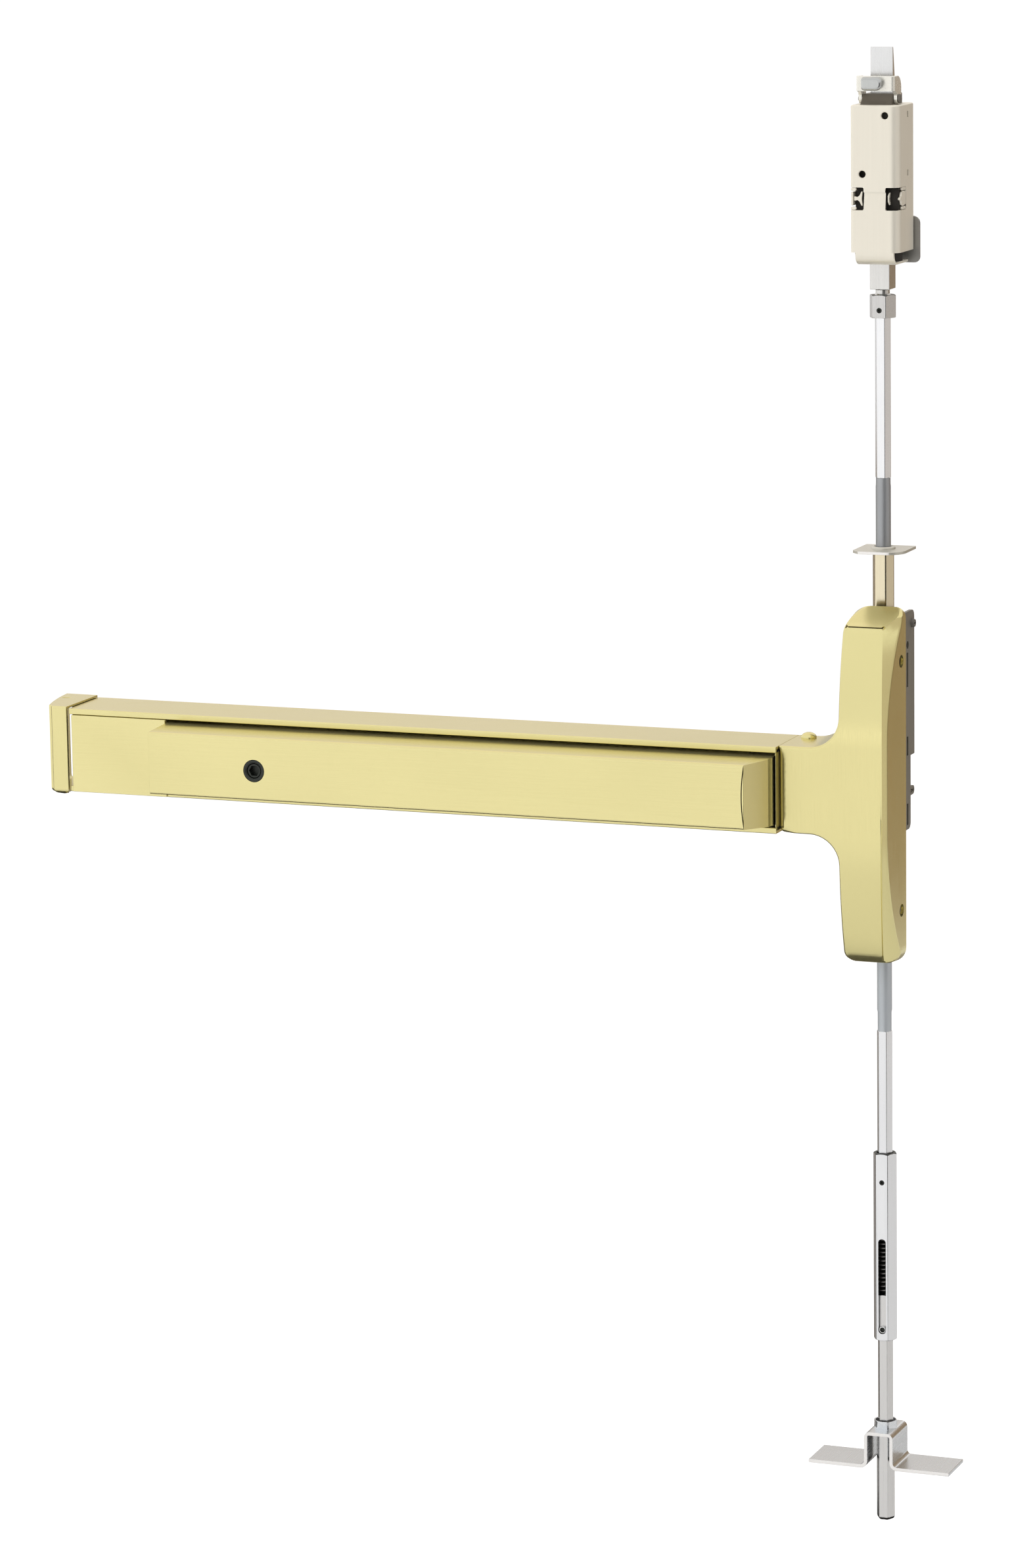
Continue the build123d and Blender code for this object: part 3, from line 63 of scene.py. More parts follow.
lens.clip_end = 200
camera = bpy.data.objects.new("camera", lens)
camera.matrix_world = Matrix(
    [(*row, place) for row, place in zip(zip(across, upward, back), spot)] + [(0, 0, 0, 1)]
)
bpy.context.scene.collection.objects.link(camera)
bpy.context.scene.camera = camera
bpy.context.scene.view_settings.view_transform = "Standard"


# Studio: a wide pale floor well below the door's foot, white all round, and soft lamps. The camera
# sees floor and surround white; the metal sees a bright surround and a floor that dims close by.
def shares(tree):
    """Sockets that tell rays from the camera, and rays sent on by metal or glass."""
    seen = tree.nodes.new("ShaderNodeLightPath")
    sent_on = tree.nodes.new("ShaderNodeMath")
    sent_on.operation = "MAXIMUM"
    tree.links.new(seen.outputs["Is Glossy Ray"], sent_on.inputs[0])
    tree.links.new(seen.outputs["Is Transmission Ray"], sent_on.inputs[1])
    return seen.outputs["Is Camera Ray"], sent_on.outputs[0]


sky = bpy.data.worlds.new("surround")
bpy.context.scene.world = sky
sky.use_nodes = True
tree = sky.node_tree
tree.nodes.clear()
direct, sent_on = shares(tree)
fill = tree.nodes.new("ShaderNodeBackground")
fill.inputs["Color"].default_value = (1, 0.99, 0.97, 1)
fill.inputs["Strength"].default_value = 0.62
mirrored = tree.nodes.new("ShaderNodeBackground")
mirrored.inputs["Strength"].default_value = 1.3
white = tree.nodes.new("ShaderNodeBackground")
white.inputs["Strength"].default_value = 1.0
first = tree.nodes.new("ShaderNodeMixShader")
tree.links.new(sent_on, first.inputs["Fac"])
tree.links.new(fill.outputs[0], first.inputs[1])
tree.links.new(mirrored.outputs[0], first.inputs[2])
second = tree.nodes.new("ShaderNodeMixShader")
tree.links.new(direct, second.inputs["Fac"])
tree.links.new(first.outputs[0], second.inputs[1])
tree.links.new(white.outputs[0], second.inputs[2])
end = tree.nodes.new("ShaderNodeOutputWorld")
tree.links.new(second.outputs[0], end.inputs["Surface"])

paper = bpy.data.materials.new("floor_paper")
paper.use_nodes = True
tree = paper.node_tree
shader = tree.nodes["Principled BSDF"]
shader.inputs["Roughness"].default_value = 0.9
shader.inputs["Emission Color"].default_value = (1, 1, 1, 1)
direct, sent_on = shares(tree)
place = tree.nodes.new("ShaderNodeTexCoord")
away = tree.nodes.new("ShaderNodeVectorMath")
away.operation = "LENGTH"
tree.links.new(place.outputs["Object"], away.inputs[0])
far_glow = tree.nodes.new("ShaderNodeMapRange")
far_glow.inputs["From Min"].default_value = 2.0
far_glow.inputs["From Max"].default_value = 9.0
far_glow.inputs["To Min"].default_value = 0.06
far_glow.inputs["To Max"].default_value = 0.70
tree.links.new(away.outputs["Value"], far_glow.inputs["Value"])
glow = tree.nodes.new("ShaderNodeMath")
glow.operation = "MULTIPLY"
tree.links.new(sent_on, glow.inputs[0])
tree.links.new(far_glow.outputs[0], glow.inputs[1])
paper_white = tree.nodes.new("ShaderNodeMath")
paper_white.operation = "MULTIPLY_ADD"
paper_white.inputs[1].default_value = 0.47
tree.links.new(direct, paper_white.inputs[0])
tree.links.new(glow.outputs[0], paper_white.inputs[2])
tree.links.new(paper_white.outputs[0], shader.inputs["Emission Strength"])
mottle = tree.nodes.new("ShaderNodeTexNoise")
mottle.inputs["Scale"].default_value = 3
pale = tree.nodes.new("ShaderNodeMix")
pale.data_type = "RGBA"
pale.inputs[6].default_value = (0.86, 0.86, 0.86, 1)
pale.inputs[7].default_value = (0.88, 0.88, 0.88, 1)
tree.links.new(mottle.outputs[0], pale.inputs[0])
tree.links.new(pale.outputs[2], shader.inputs["Base Color"])
floor_mesh = bpy.data.meshes.new("floor")
floor_reach, floor_level = 40, -0.9
turns = [pi * k / 24 for k in range(48)]
rim = [(floor_reach * cos(w), floor_reach * sin(w), floor_level) for w in turns]
floor_mesh.from_pydata(rim, [], [list(range(48))])
floor_mesh.materials.append(paper)
floor = bpy.data.objects.new("floor", floor_mesh)
bpy.context.scene.collection.objects.link(floor)


def lamp(name, place, size, watts, towards=(-0.25, 0, 0)):
    """Soft box that shines on the object and doesn't show in the metal."""
    light = bpy.data.lights.new(name, "AREA")
    light.shape = "SQUARE"
    light.size = size
    light.energy = watts
    made = bpy.data.objects.new(name, light)
    made.location = place
    made.rotation_euler = (Vector(towards) - Vector(place)).to_track_quat("-Z", "Y").to_euler()
    made.visible_glossy = False
    bpy.context.scene.collection.objects.link(made)


lamp("key_lamp", (-2.2, -3.0, 2.4), 1.8, 62)
lamp("top_lamp", (-0.4, 0.4, 3.0), 2.0, 26)


# Cards: flat boards stand round the object, out of the camera's sight. Only the metal shows them:
# flanks that face the back wall come out darker, and rolled edges get their thin dark lines.
def card(name, corners, glow, tint=0.85):
    """Flat card through four corners, as light as glow, its blue held back, seen only by metal."""
    finish = bpy.data.materials.new(name)
    finish.use_nodes = True
    tree = finish.node_tree
    shader = tree.nodes["Principled BSDF"]
    shader.inputs["Base Color"].default_value = (0, 0, 0, 1)
    shader.inputs["Roughness"].default_value = 1.0
    shader.inputs["Specular IOR Level"].default_value = 0.0
    shader.inputs["Emission Color"].default_value = (1, 0.5 + tint / 2, tint, 1)
    fleck = tree.nodes.new("ShaderNodeTexNoise")
    fleck.inputs["Scale"].default_value = 2
    level_of = tree.nodes.new("ShaderNodeMapRange")
    level_of.inputs["To Min"].default_value = glow * 0.9
    level_of.inputs["To Max"].default_value = glow * 1.1
    tree.links.new(fleck.outputs[0], level_of.inputs["Value"])
    tree.links.new(level_of.outputs[0], shader.inputs["Emission Strength"])
    mesh = bpy.data.meshes.new(name)
    mesh.from_pydata(corners, [], [(0, 1, 2, 3)])
    mesh.materials.append(finish)
    made = bpy.data.objects.new(name, mesh)
    made.visible_camera = False
    made.visible_shadow = False
    made.visible_diffuse = False
    bpy.context.scene.collection.objects.link(made)


def standing_card(name, one, other, low, high, glow, tint=0.85):
    """Upright card between two spots on the floor."""
    card(name, [(*one, low), (*other, low), (*other, high), (*one, high)], glow, tint)


foot_level, back_top, side_top = -0.89, 1.4, -0.25
standing_card("right_card", (3.2, -1.6), (3.2, 2.0), foot_level, back_top, 0.66)
standing_card("dark_corner_card", (3.2, 2.0), (1.9, 3.3), foot_level, back_top, 0.2, 0.45)
standing_card("dark_front_card", (0.3, -1.5), (0.9, -1.5), foot_level, 0.6, 0.03)
standing_card("dark_side_card", (0.9, -1.5), (1.5, -0.85), foot_level, 0.6, 0.03)
back_floor = [(-4.2, 0.75, -0.885), (0.3, 0.75, -0.885), (0.3, 3.3, -0.885), (-4.2, 3.3, -0.885)]
card("back_floor_card", back_floor, 0.3)
standing_card("back_card", (1.9, 3.3), (0.3, 3.3), foot_level, back_top, 0.33, 0.45)
standing_card("left_card", (-4.4, -0.3), (-4.4, 3.0), foot_level, side_top, 0.3, 0.7)
standing_card("low_top_card", (-3.2, 3.3), (-0.2, 3.3), side_top, 0.45, 0.48, 0.97)
standing_card("high_top_card", (-3.2, 3.3), (-0.2, 3.3), 0.45, 1.6, 0.84)
standing_card("back_left_card", (-4.4, 3.0), (0.1, 3.4), foot_level, side_top, 0.3, 0.7)
ground = [(-2.7, -0.35, -0.88), (0.5, -0.35, -0.88), (0.5, 0.7, -0.88), (-2.7, 0.7, -0.88)]
card("ground_card", ground, 0.01)
ceiling = [(-2.5, -0.4, 2.2), (1.5, -0.4, 2.2), (1.5, 3.0, 1.6), (-2.5, 3.0, 1.6)]
card("ceiling_card", ceiling, 1.05, 0.9)


# Rail: one length of extruded brass channel, open to the front between two lips, sawn square at
# both ends and satin brushed along its length. A thin brass flange closes it against the cover.
def oblong(left, low, right, high):
    """Corners of a square cornered outline."""
    return [(left, low), (right, low), (right, high), (left, high)]


def rounded(corners, radii, steps=6):
    """Closed outline through corners, each turned on its own radius."""
    if not isinstance(radii, (list, tuple)):
        radii = [radii] * len(corners)
    points = []
    for k, radius in enumerate(radii):
        here = Vector(corners[k])
        before = (Vector(corners[k - 1]) - here).normalized()
        after = (Vector(corners[(k + 1) % len(corners)]) - here).normalized()
        if radius <= 0:
            points.append(here)
            continue
        half = before.angle(after) / 2
        centre = here + (before + after).normalized() * radius / sin(half)
        first = here + before * radius / tan(half) - centre
        last = here + after * radius / tan(half) - centre
        start = atan2(first.y, first.x)
        sweep = (atan2(last.y, last.x) - start + pi) % (2 * pi) - pi
        for n in range(steps + 1):
            way = start + sweep * n / steps
            points.append(centre + Vector((cos(way), sin(way))) * radius)
    return points


def inset(points, amount):
    """The outline moved inwards, mitred at its corners."""
    after = points[1:] + points[:1]
    before = points[-1:] + points[:-1]
    area = sum(a.x * b.y - b.x * a.y for a, b in zip(points, after))
    amount = amount if area > 0 else -amount
    moved = []
    for last, here, on in zip(before, points, after):
        a, b = (here - last).normalized(), (on - here).normalized()
        way = Vector((-a.y - b.y, a.x + b.x))
        moved.append(here + way * (amount * 2 / max(way.dot(way), 0.5)))
    return moved


def stood(point, height, axis):
    """A flat point at a height along one axis: (y, z) for X, (x, z) for Y, (x, y) for Z."""
    a, b = point[0], point[1]
    return {"X": (height, a, b), "Y": (a, height, b), "Z": (a, b, height)}[axis]


def slab(bm, outline, low, high, axis, edge=0.3, high_edge=None, holes=(), steps=3):
    """Flat shape pushed from low to high along an axis, with its rims rounded over."""
    high_edge = edge if high_edge is None else high_edge
    levels = []
    for n in range(steps + 1):
        way = pi / 2 * n / steps
        levels.append((edge * (1 - sin(way)), low + edge * (1 - cos(way))))
    for n in range(steps, -1, -1):
        way = pi / 2 * n / steps
        levels.append((high_edge * (1 - sin(way)), high - high_edge * (1 - cos(way))))
    walls = []
    for points, side in [(outline, 1)] + [(hole, -1) for hole in holes]:
        points = [Vector(p) for p in points]
        flats = [inset(points, side * pull) for pull, _ in levels]
        rows = [
            [bm.verts.new(stood(p, height, axis)) for p in flat]
            for flat, (_, height) in zip(flats, levels)
        ]
        for lower, upper in zip(rows, rows[1:]):
            for n in range(len(points)):
                bm.faces.new((lower[n - 1], lower[n], upper[n], upper[n - 1]))
        walls.append((flats, rows))
    for end in (0, -1):
        flat = walls[0][0][end]
        turns = [(b - a).cross(c - b) for a, b, c in zip(flat[-2:] + flat, flat[-1:] + flat, flat)]
        if not holes and (min(turns) > -1e-6 or max(turns) < 1e-6):
            bm.faces.new(walls[0][1][end])
            continue
        loops = [[Vector((p.x, p.y, 0)) for p in flats[end]] for flats, _ in walls]
        corners = [vert for _, rows in walls for vert in rows[end]]
        for triangle in tessellate_polygon(loops):
            bm.faces.new([corners[n] for n in triangle])


def piece(name, bm, finish, crisp=32):
    """Object from a shape drawn in millimetres, smooth but for edges over crisp degrees."""
    bmesh.ops.recalc_face_normals(bm, faces=bm.faces)
    bmesh.ops.scale(bm, vec=(0.001, 0.001, 0.001), verts=bm.verts)
    mesh = bpy.data.meshes.new(name)
    bm.to_mesh(mesh)
    bm.free()
    mesh.materials.append(finish)
    mesh.polygons.foreach_set("use_smooth", [True] * len(mesh.polygons))
    mesh.set_sharp_from_angle(angle=radians(crisp))
    made = bpy.data.objects.new(name, mesh)
    bpy.context.scene.collection.objects.link(made)
    flats = made.modifiers.new("flat faces stay flat", "WEIGHTED_NORMAL")
    flats.keep_sharp = True
    return made


def put(tree, kind, sockets, **settings):
    """One node, its settings, and what its sockets hold or are fed by."""
    made = tree.nodes.new("ShaderNode" + kind)
    for name, value in settings.items():
        setattr(made, name, value)
    for name, value in sockets.items():
        if isinstance(value, bpy.types.NodeSocket):
            tree.links.new(value, made.inputs[name])
        else:
            made.inputs[name].default_value = value
    return made.outputs[2] if kind == "Mix" else made.outputs[0]


def ranged(tree, value, low, high, least, most):
    """A value between low and high, spread over least to most."""
    span = {"From Min": low, "From Max": high, "To Min": least, "To Max": most}
    return put(tree, "MapRange", {"Value": value, **span})


def metal(name, colour, metallic, roughness, grain="Z", fine=1400, scratch=0.3, worn=0.25, drift=0.05):
    """Metal with lines drawn along its grain, slow colour drift, handling marks and worn edges."""
    made = bpy.data.materials.new(name)
    made.use_nodes = True
    tree = made.node_tree
    shader = tree.nodes["Principled BSDF"]
    place = tree.nodes.new("ShaderNodeTexCoord").outputs["Object"]
    stretch = [fine / (60 if axis == grain else 1) for axis in "XYZ"]
    drawn = put(tree, "Mapping", {"Vector": place, "Scale": stretch})
    lines = put(tree, "TexNoise", {"Vector": drawn, "Scale": 1.0, "Detail": 3.0, "Roughness": 0.65})
    cloud = put(tree, "TexNoise", {"Vector": place, "Scale": 9.0, "Detail": 2.0})
    marks = put(tree, "TexNoise", {"Vector": place, "Scale": 70.0, "Detail": 5.0, "Roughness": 0.7})
    dark = [c * (1 - drift) for c in colour] + [1]
    light = [min(c * (1 + drift), 1) for c in colour] + [1]
    body = put(tree, "Mix", {0: cloud, 6: dark, 7: light}, data_type="RGBA")
    streak = ranged(tree, lines, 0.3, 0.7, 0.0, 0.07)
    body = put(tree, "Mix", {0: streak, 6: body, 7: [c * 0.72 for c in colour] + [1]}, data_type="RGBA")
    bent = tree.nodes.new("ShaderNodeNewGeometry").outputs["Pointiness"]
    rub = ranged(tree, bent, 0.52, 0.60, 0.0, worn)
    bright = [min(c * 1.12 + 0.05, 1) for c in colour] + [1]
    body = put(tree, "Mix", {0: rub, 6: body, 7: bright}, data_type="RGBA")
    tree.links.new(body, shader.inputs["Base Color"])
    dull = ranged(tree, lines, 0.3, 0.7, roughness - 0.04, roughness + 0.04)
    touch = ranged(tree, marks, 0.35, 0.7, 0.0, 0.03)
    dull = put(tree, "Math", {0: dull, 1: touch}, operation="ADD")
    tree.links.new(dull, shader.inputs["Roughness"])
    relief = put(tree, "Math", {0: marks, 1: 0.4, 2: lines}, operation="MULTIPLY_ADD")
    bump = put(tree, "Bump", {"Strength": scratch, "Distance": 0.00002, "Height": relief})
    tree.links.new(bump, shader.inputs["Normal"])
    shader.inputs["Metallic"].default_value = metallic
    return made


brass = (0.765, 0.690, 0.335)
brass_along = metal("satin_brass_along", brass, 0.86, 0.2, grain="X", scratch=0.12)
rail_half, rail_front, rail_wall, rail_mouth = 34.15, -56.4, 2.5, 29.5
rail_inner = rail_half - rail_wall
corners = [(0, rail_half), (rail_front, rail_half), (rail_front, rail_mouth)]
corners += [(rail_front + rail_wall, rail_mouth), (rail_front + rail_wall, rail_inner)]
corners += [(-rail_wall, rail_inner)]
corners += [(a, -b) for a, b in reversed(corners)]
radii = [0.4, 0.9, 0.5, 0.5, 0.5, 1.0]
bm = bmesh.new()
rail_left, rail_right = -667.5, -62.3
slab(bm, rounded(corners, radii + radii[::-1]), rail_left, rail_right, "X", 0.2)
rail = piece("rail", bm, brass_along)
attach(rail, "chassis")
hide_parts("rail_channel")

bm = bmesh.new()
slab(bm, rounded(oblong(-56.2, -29.4, -38, 29.4), 0.6, 3), -62.95, -62.35, "X", 0.15)
rail_flange = piece("rail_end_flange", bm, brass_along)
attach(rail_flange, "chassis")

# Filler: a brushed plate that closes the rail's mouth from the end cap to the push pad, its two
# turned-in edges hooked behind the lips.
bm = bmesh.new()
filler_left, filler_right = -665, -581.2
face = rounded(oblong(filler_left, -33.85, filler_right, 29.2), 0.6, 3)
slab(bm, face, -58.0, -56.5, "Y", 0.45)
for level_z in (29.2, -26.5):
    hook = rounded(oblong(-56.5, level_z - 2.7, -50, level_z), 0.4, 2)
    slab(bm, hook, filler_left, filler_right, "X", 0.2)
filler = piece("rail_filler_plate", bm, brass_along)
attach(filler, "chassis")
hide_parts("rail_filler")


# End cap: a cast brass shell pushed over the rail's sawn end, its outer side bowed, screwed down
# through its top to a steel bracket.
def carve(target, bm):
    """Take a shape drawn in millimetres out of a piece."""
    tool = piece("tool", bm, target.data.materials[0])
    tool.modifiers.clear()
    cut = target.modifiers.new("cut", "BOOLEAN")
    cut.object = tool
    cut.solver = "MANIFOLD"
    soft = [m for m in target.modifiers if m.type != "BOOLEAN"]
    for other in soft:
        other.show_viewport = False
    bpy.context.view_layer.update()
    shown = target.evaluated_get(bpy.context.evaluated_depsgraph_get())
    fresh = bpy.data.meshes.new_from_object(shown)
    target.modifiers.remove(cut)
    for other in soft:
        other.show_viewport = True
    fresh.polygons.foreach_set("use_smooth", [True] * len(fresh.polygons))
    fresh.set_sharp_from_angle(angle=radians(32))
    target.data = fresh
    bpy.data.objects.remove(tool)


def turned(bm, profile, centre, axis, steps=32):
    """Turned shape: (radius, height) pairs spun about an axis, closed where the radius is 0."""
    rows = []
    for radius, height in profile:
        if radius <= 0:
            rows.append([bm.verts.new(stood((centre[0], centre[1]), height, axis))])
            continue
        ring = [2 * pi * n / steps for n in range(steps)]
        points = [(centre[0] + radius * cos(w), centre[1] + radius * sin(w)) for w in ring]
        rows.append([bm.verts.new(stood(p, height, axis)) for p in points])
    for lower, upper in zip(rows, rows[1:]):
        for n in range(steps):
            lower_pair = [lower[n - 1], lower[n]] if len(lower) > 1 else [lower[0]]
            upper_pair = [upper[n], upper[n - 1]] if len(upper) > 1 else [upper[0]]
            corners = lower_pair + upper_pair
            if len(corners) > 2:
                bm.faces.new(corners)


brass_upright = metal("satin_brass_upright", brass, 0.86, 0.2, grain="Z", scratch=0.12)
bow = [Vector((-697 + 10.5 * t - 6 * t * (1 - t), -54 * t)) for t in [n / 12 for n in range(13)]]
shell = bow + rounded([(-684, -58.2), (-669, -58.2), (-669, 0)], [2.2, 0.5, 0], 5)
bm = bmesh.new()
slab(bm, shell, -36, 36, "Z", 4.0, 0.5, steps=5)
end_shell = piece("end_cap_shell", bm, brass_upright)
bm = bmesh.new()
room = [Vector((p.x + 2.0 - 1.2 * (p.y / -54), p.y * 0.96 + 2)) for p in bow]
room += [Vector((-680.5, -56)), Vector((-660, -56)), Vector((-660, 2))]
slab(bm, room, -33.8, 34, "Z", 2.5, 0.1)
carve(end_shell, bm)
bm = bmesh.new()
cap_screw_spot = (-688, -19.3)
turned(bm, [(0, 33), (2.4, 33), (2.4, 34.1), (3.9, 36.2), (0, 36.2)], cap_screw_spot, "Z")
carve(end_shell, bm)
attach(end_shell, "chassis")
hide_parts("end_cap")

bm = bmesh.new()
turned(bm, [(0, 30), (2, 30), (2, 34), (3.6, 35.6), (3.55, 35.75), (0, 35.8)], cap_screw_spot, "Z")
cap_screw = piece("end_cap_flat_screw", bm, brass_upright)
bm = bmesh.new()
slab(bm, oblong(-691.2, -19.8, -684.8, -18.8), 35.1, 36.4, "Z", 0.05)
carve(cap_screw, bm)
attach(cap_screw, "chassis")
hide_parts("end_cap_screw")


# Push pad: heavy brass sheet folded into a channel, its edges rolled, with a plate closing the left
# end and a pressed cap that slopes back to the rail at the right.
def paint_light_and_shade(target, finish, test):
    """A second finish that paints light and shade on the faces whose middle and direction, in millimetres,
    pass a test.
    """
    target.data.materials.append(finish)
    for face in target.data.polygons:
        if test(face.center * 1000, face.normal):
            face.material_index = len(target.data.materials) - 1


def ease(target, name, edge, segments, least):
    """Round off edges over least degrees with a bevel, edge given in millimetres."""
    soft = target.modifiers.new(name, "BEVEL")
    soft.width = edge * 0.001
    soft.segments = segments
    soft.limit_method = "ANGLE"
    soft.angle_limit = radians(least)


# Painted shade: a near black brass colour laid on the faces of narrow grooves, where shade falls.
painted_shade_line = metal("painted_shade_brass_line", (0.10, 0.08, 0.025), 0.6, 0.5, grain="Z", fine=600)
pad_left, pad_right, pad_front, pad_back = -580.6, -76.8, -91.0, -45.0
corners = [(pad_back, 27), (-56.4, 27), (pad_front, 25.2)]
corners += [(pad_front, -25.2), (-56.4, -27), (pad_back, -27)]
corners += [(pad_back, -24.6), (-56.2, -24.6), (pad_front + 2.4, -22.9)]
corners += [(pad_front + 2.4, 22.9), (-56.2, 24.6), (pad_back, 24.6)]
bm = bmesh.new()
radii = [0.5, 6, 2.0, 2.0, 6, 0.5, 0.5, 2, 0.4, 0.4, 2, 0.5]
slab(bm, rounded(corners, radii), pad_left, pad_right, "X", 0.3)
pad = piece("push_pad_channel", bm, brass_along)
bm = bmesh.new()
dogging_spot = (-488.6, -1.5)
turned(bm, [(0, -92), (9.1, -92), (9.1, -88), (0, -88)], dogging_spot, "Y", 48)
carve(pad, bm)
joint_half = 24.9
bow = [joint_half * n / 12 for n in range(-12, 13)]
joint = [(pad_right - 0.1 - 2.2 * (1 - (z / joint_half) ** 2), z) for z in bow]
joint += [(pad_right + 0.8 - 2.2 * (1 - (z / joint_half) ** 2), z) for z in reversed(bow)]
bm = bmesh.new()
slab(bm, joint, pad_front - 1, pad_front + 2.0, "Y", 0.02)
carve(pad, bm)
# Painted shade: the front faces in the groove at the pad's right end, by the cap, are painted near black.
paint_light_and_shade(
    pad,
    painted_shade_line,
    lambda spot, way: spot.x > pad_right - 2.6 and spot.y < -88.9 and way.y > -0.5 and abs(spot.z) < 25,
)
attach(pad, "push_pad")
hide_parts("push_pad")

bm = bmesh.new()
plug = [(pad_back, 24.4), (-56.2, 24.4), (pad_front + 2.6, 22.7)]
plug += [(a, -b) for a, b in reversed(plug)]
slab(bm, rounded(plug, 0.4, 2), pad_left + 0.2, pad_left + 2.2, "X", 0.3)
pad_plug = piece("pad_plug_plate", bm, brass_upright)
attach(pad_plug, "push_pad")
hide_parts("pad_left_plug")


def pad_ring(x, front):
    """Section of the pad at x with its front drawn back to a given depth."""
    half = 27 - 1.8 * (-56.4 - front) / 34.6
    points = [(pad_back, 27), (-56.4, 27), (front, half)]
    points += [(a, -b) for a, b in reversed(points)]
    return [(x, a, b) for a, b in points]


bm = bmesh.new()
rings = [pad_ring(pad_right + 0.08, pad_front), pad_ring(-64.6, -68.0), pad_ring(-63.15, -49.0)]
rings = [[bm.verts.new(p) for p in ring] for ring in rings]
for lower, upper in zip(rings, rings[1:]):
    for n in range(6):
        bm.faces.new((lower[n - 1], lower[n], upper[n], upper[n - 1]))
bm.faces.new(rings[0])
bm.faces.new(rings[-1])
tongue = rounded(oblong(-88.4, -21, -86.2, 21), 0.5, 2)
slab(bm, tongue, -84.8, pad_right + 0.5, "X", 0.2)
pad_cap = piece("pad_sloped_cap", bm, brass_upright)
ease(pad_cap, "rolled edges", 1.9, 5, 20)
pad_cap.modifiers.move(1, 0)
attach(pad_cap, "push_pad")
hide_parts("pad_end_cap")


# Dogging: a blackened bushing pressed into the pad, and in it a hexagon socket screw whose cam
# turns behind the catch's lips and holds the pad in.
def dress(finish, edge, *names):
    """CAD shapes that are right as they are: the finish goes on and the edges are eased."""
    for name in names:
        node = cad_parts[name]
        for holder in node.material_slots:
            holder.material = finish
        weld = node.modifiers.new("joined", "WELD")
        weld.merge_threshold = 0.000002
        ease(node, "eased edges", edge, 2, 40)


# Blackened steel for the set screws and the dogging parts; the same near black is also laid as painted
# shade in bores, cups and on end faces.
blackened_and_painted_shade = metal("blackened_steel_and_painted_shade", (0.030, 0.033, 0.028), 0.7, 0.34, grain="Y", fine=700)
bm = bmesh.new()
rim = [(5.55, -86.2), (10.5, -86.2), (10.5, -88.5), (9.0, -88.6), (9.0, -90.4), (8.7, -91.0)]
rim += [(7.4, -91.2), (6.3, -90.6), (5.75, -89.4), (5.55, -86.2)]
turned(bm, rim, dogging_spot, "Y", 48)
bmesh.ops.remove_doubles(bm, verts=bm.verts, dist=0.001)
bushing = piece("dogging_ring", bm, blackened_and_painted_shade)
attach(bushing, "push_pad")
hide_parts("dogging_bushing")
dress(blackened_and_painted_shade, 0.2, "dogging_screw")

# Pad carrier, cranks and their brackets: pressed zinc plated steel inside the rail. The cranks are
# grey castings on pins, and turn the pad's press into the bar's slide.
zinc = metal("zinc_plated_sheet", (0.56, 0.54, 0.49), 0.75, 0.38, grain="X", fine=500, drift=0.08)
cast = metal("grey_casting", (0.17, 0.155, 0.135), 0.45, 0.52, grain="Z", fine=250, scratch=0.6, drift=0.18)
bright = metal("drawn_steel", (0.70, 0.70, 0.70), 0.9, 0.24, grain="Z", fine=1800, drift=0.03)
dress(zinc, 0.3, "pad_carrier", "dogging_catch", "crank_bracket_left", "crank_bracket_right")
dress(zinc, 0.3, "actuator_bar", "transfer_yoke", "end_bracket")
dress(cast, 0.5, "crank_left", "crank_right")
dress(bright, 0.3, "crank_pivot_pins")


# Chassis: a mounting plate on the door's face and a folded grey frame let into the door, with the
# clamp that holds the rods' guide tube and the screws through the frame's sides. The frame's upper
# left corner is cut off behind the cover's crown.
def copied(name, node, finish):
    """A piece with a CAD shape's own faces, their doubled corners joined, so that it can be cut."""
    bm = bmesh.new()
    bm.from_mesh(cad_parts[node].data)
    bmesh.ops.remove_doubles(bm, verts=bm.verts, dist=0.000002)
    bmesh.ops.scale(bm, vec=(1000, 1000, 1000), verts=bm.verts)
    made = piece(name, bm, finish)
    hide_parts(node)
    return made


frame_grey = metal("grey_frame_sheet", (0.23, 0.215, 0.185), 0.55, 0.45, grain="Z", fine=420, drift=0.12)
dress(frame_grey, 0.4, "frame_tab", "tube_clamp")
folded = copied("chassis_folded_frame", "chassis_frame", frame_grey)
bm = bmesh.new()
slab(bm, rounded(oblong(-20, 127.6, -15.3, 136), 0.3), -1, 32, "Y", 0.1)
carve(folded, bm)
ease(folded, "eased edges", 0.3, 2, 40)
folded.modifiers.move(1, 0)
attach(folded, "chassis")
dress(zinc, 0.3, "chassis_plate", "rail_bracket", "bracket_screws")
dress(cast, 0.3, "clamp_screws")
dress(cast, 0.5, "lift_lever_upper", "lift_lever_lower", "lift_block_upper", "lift_block_lower")
dress(bright, 0.3, "lever_pivots")

# Centre cover: a brass casting brushed upright, T-shaped, with a bowed front, a sloped crown and a
# bevel down its right edge, hooked over the chassis and held by two side screws.
cover_mid, cover_half, cover_draft = 2.2, 22.85, 0.14
cover_high, cover_low, cover_neck, cover_end = 138.5, -141.5, 34.15, -62.2
crease_right, crease = 14.8, 125.5


def cover_bow(z):
    """Depth of the bowed front at a height."""
    over = abs(z) - cover_neck - 1
    sweep = 182.06 if z > 0 else 223.9
    return 50.0 if over <= 0 else 50.0 - sweep + sqrt(sweep * sweep - over * over)


def bevel_start(z):
    """Where the front ends and the bevel begins: a line that leans out where the front is deep."""
    return crease_right + 0.27 * (cover_bow(min(z, crease)) - cover_bow(crease))


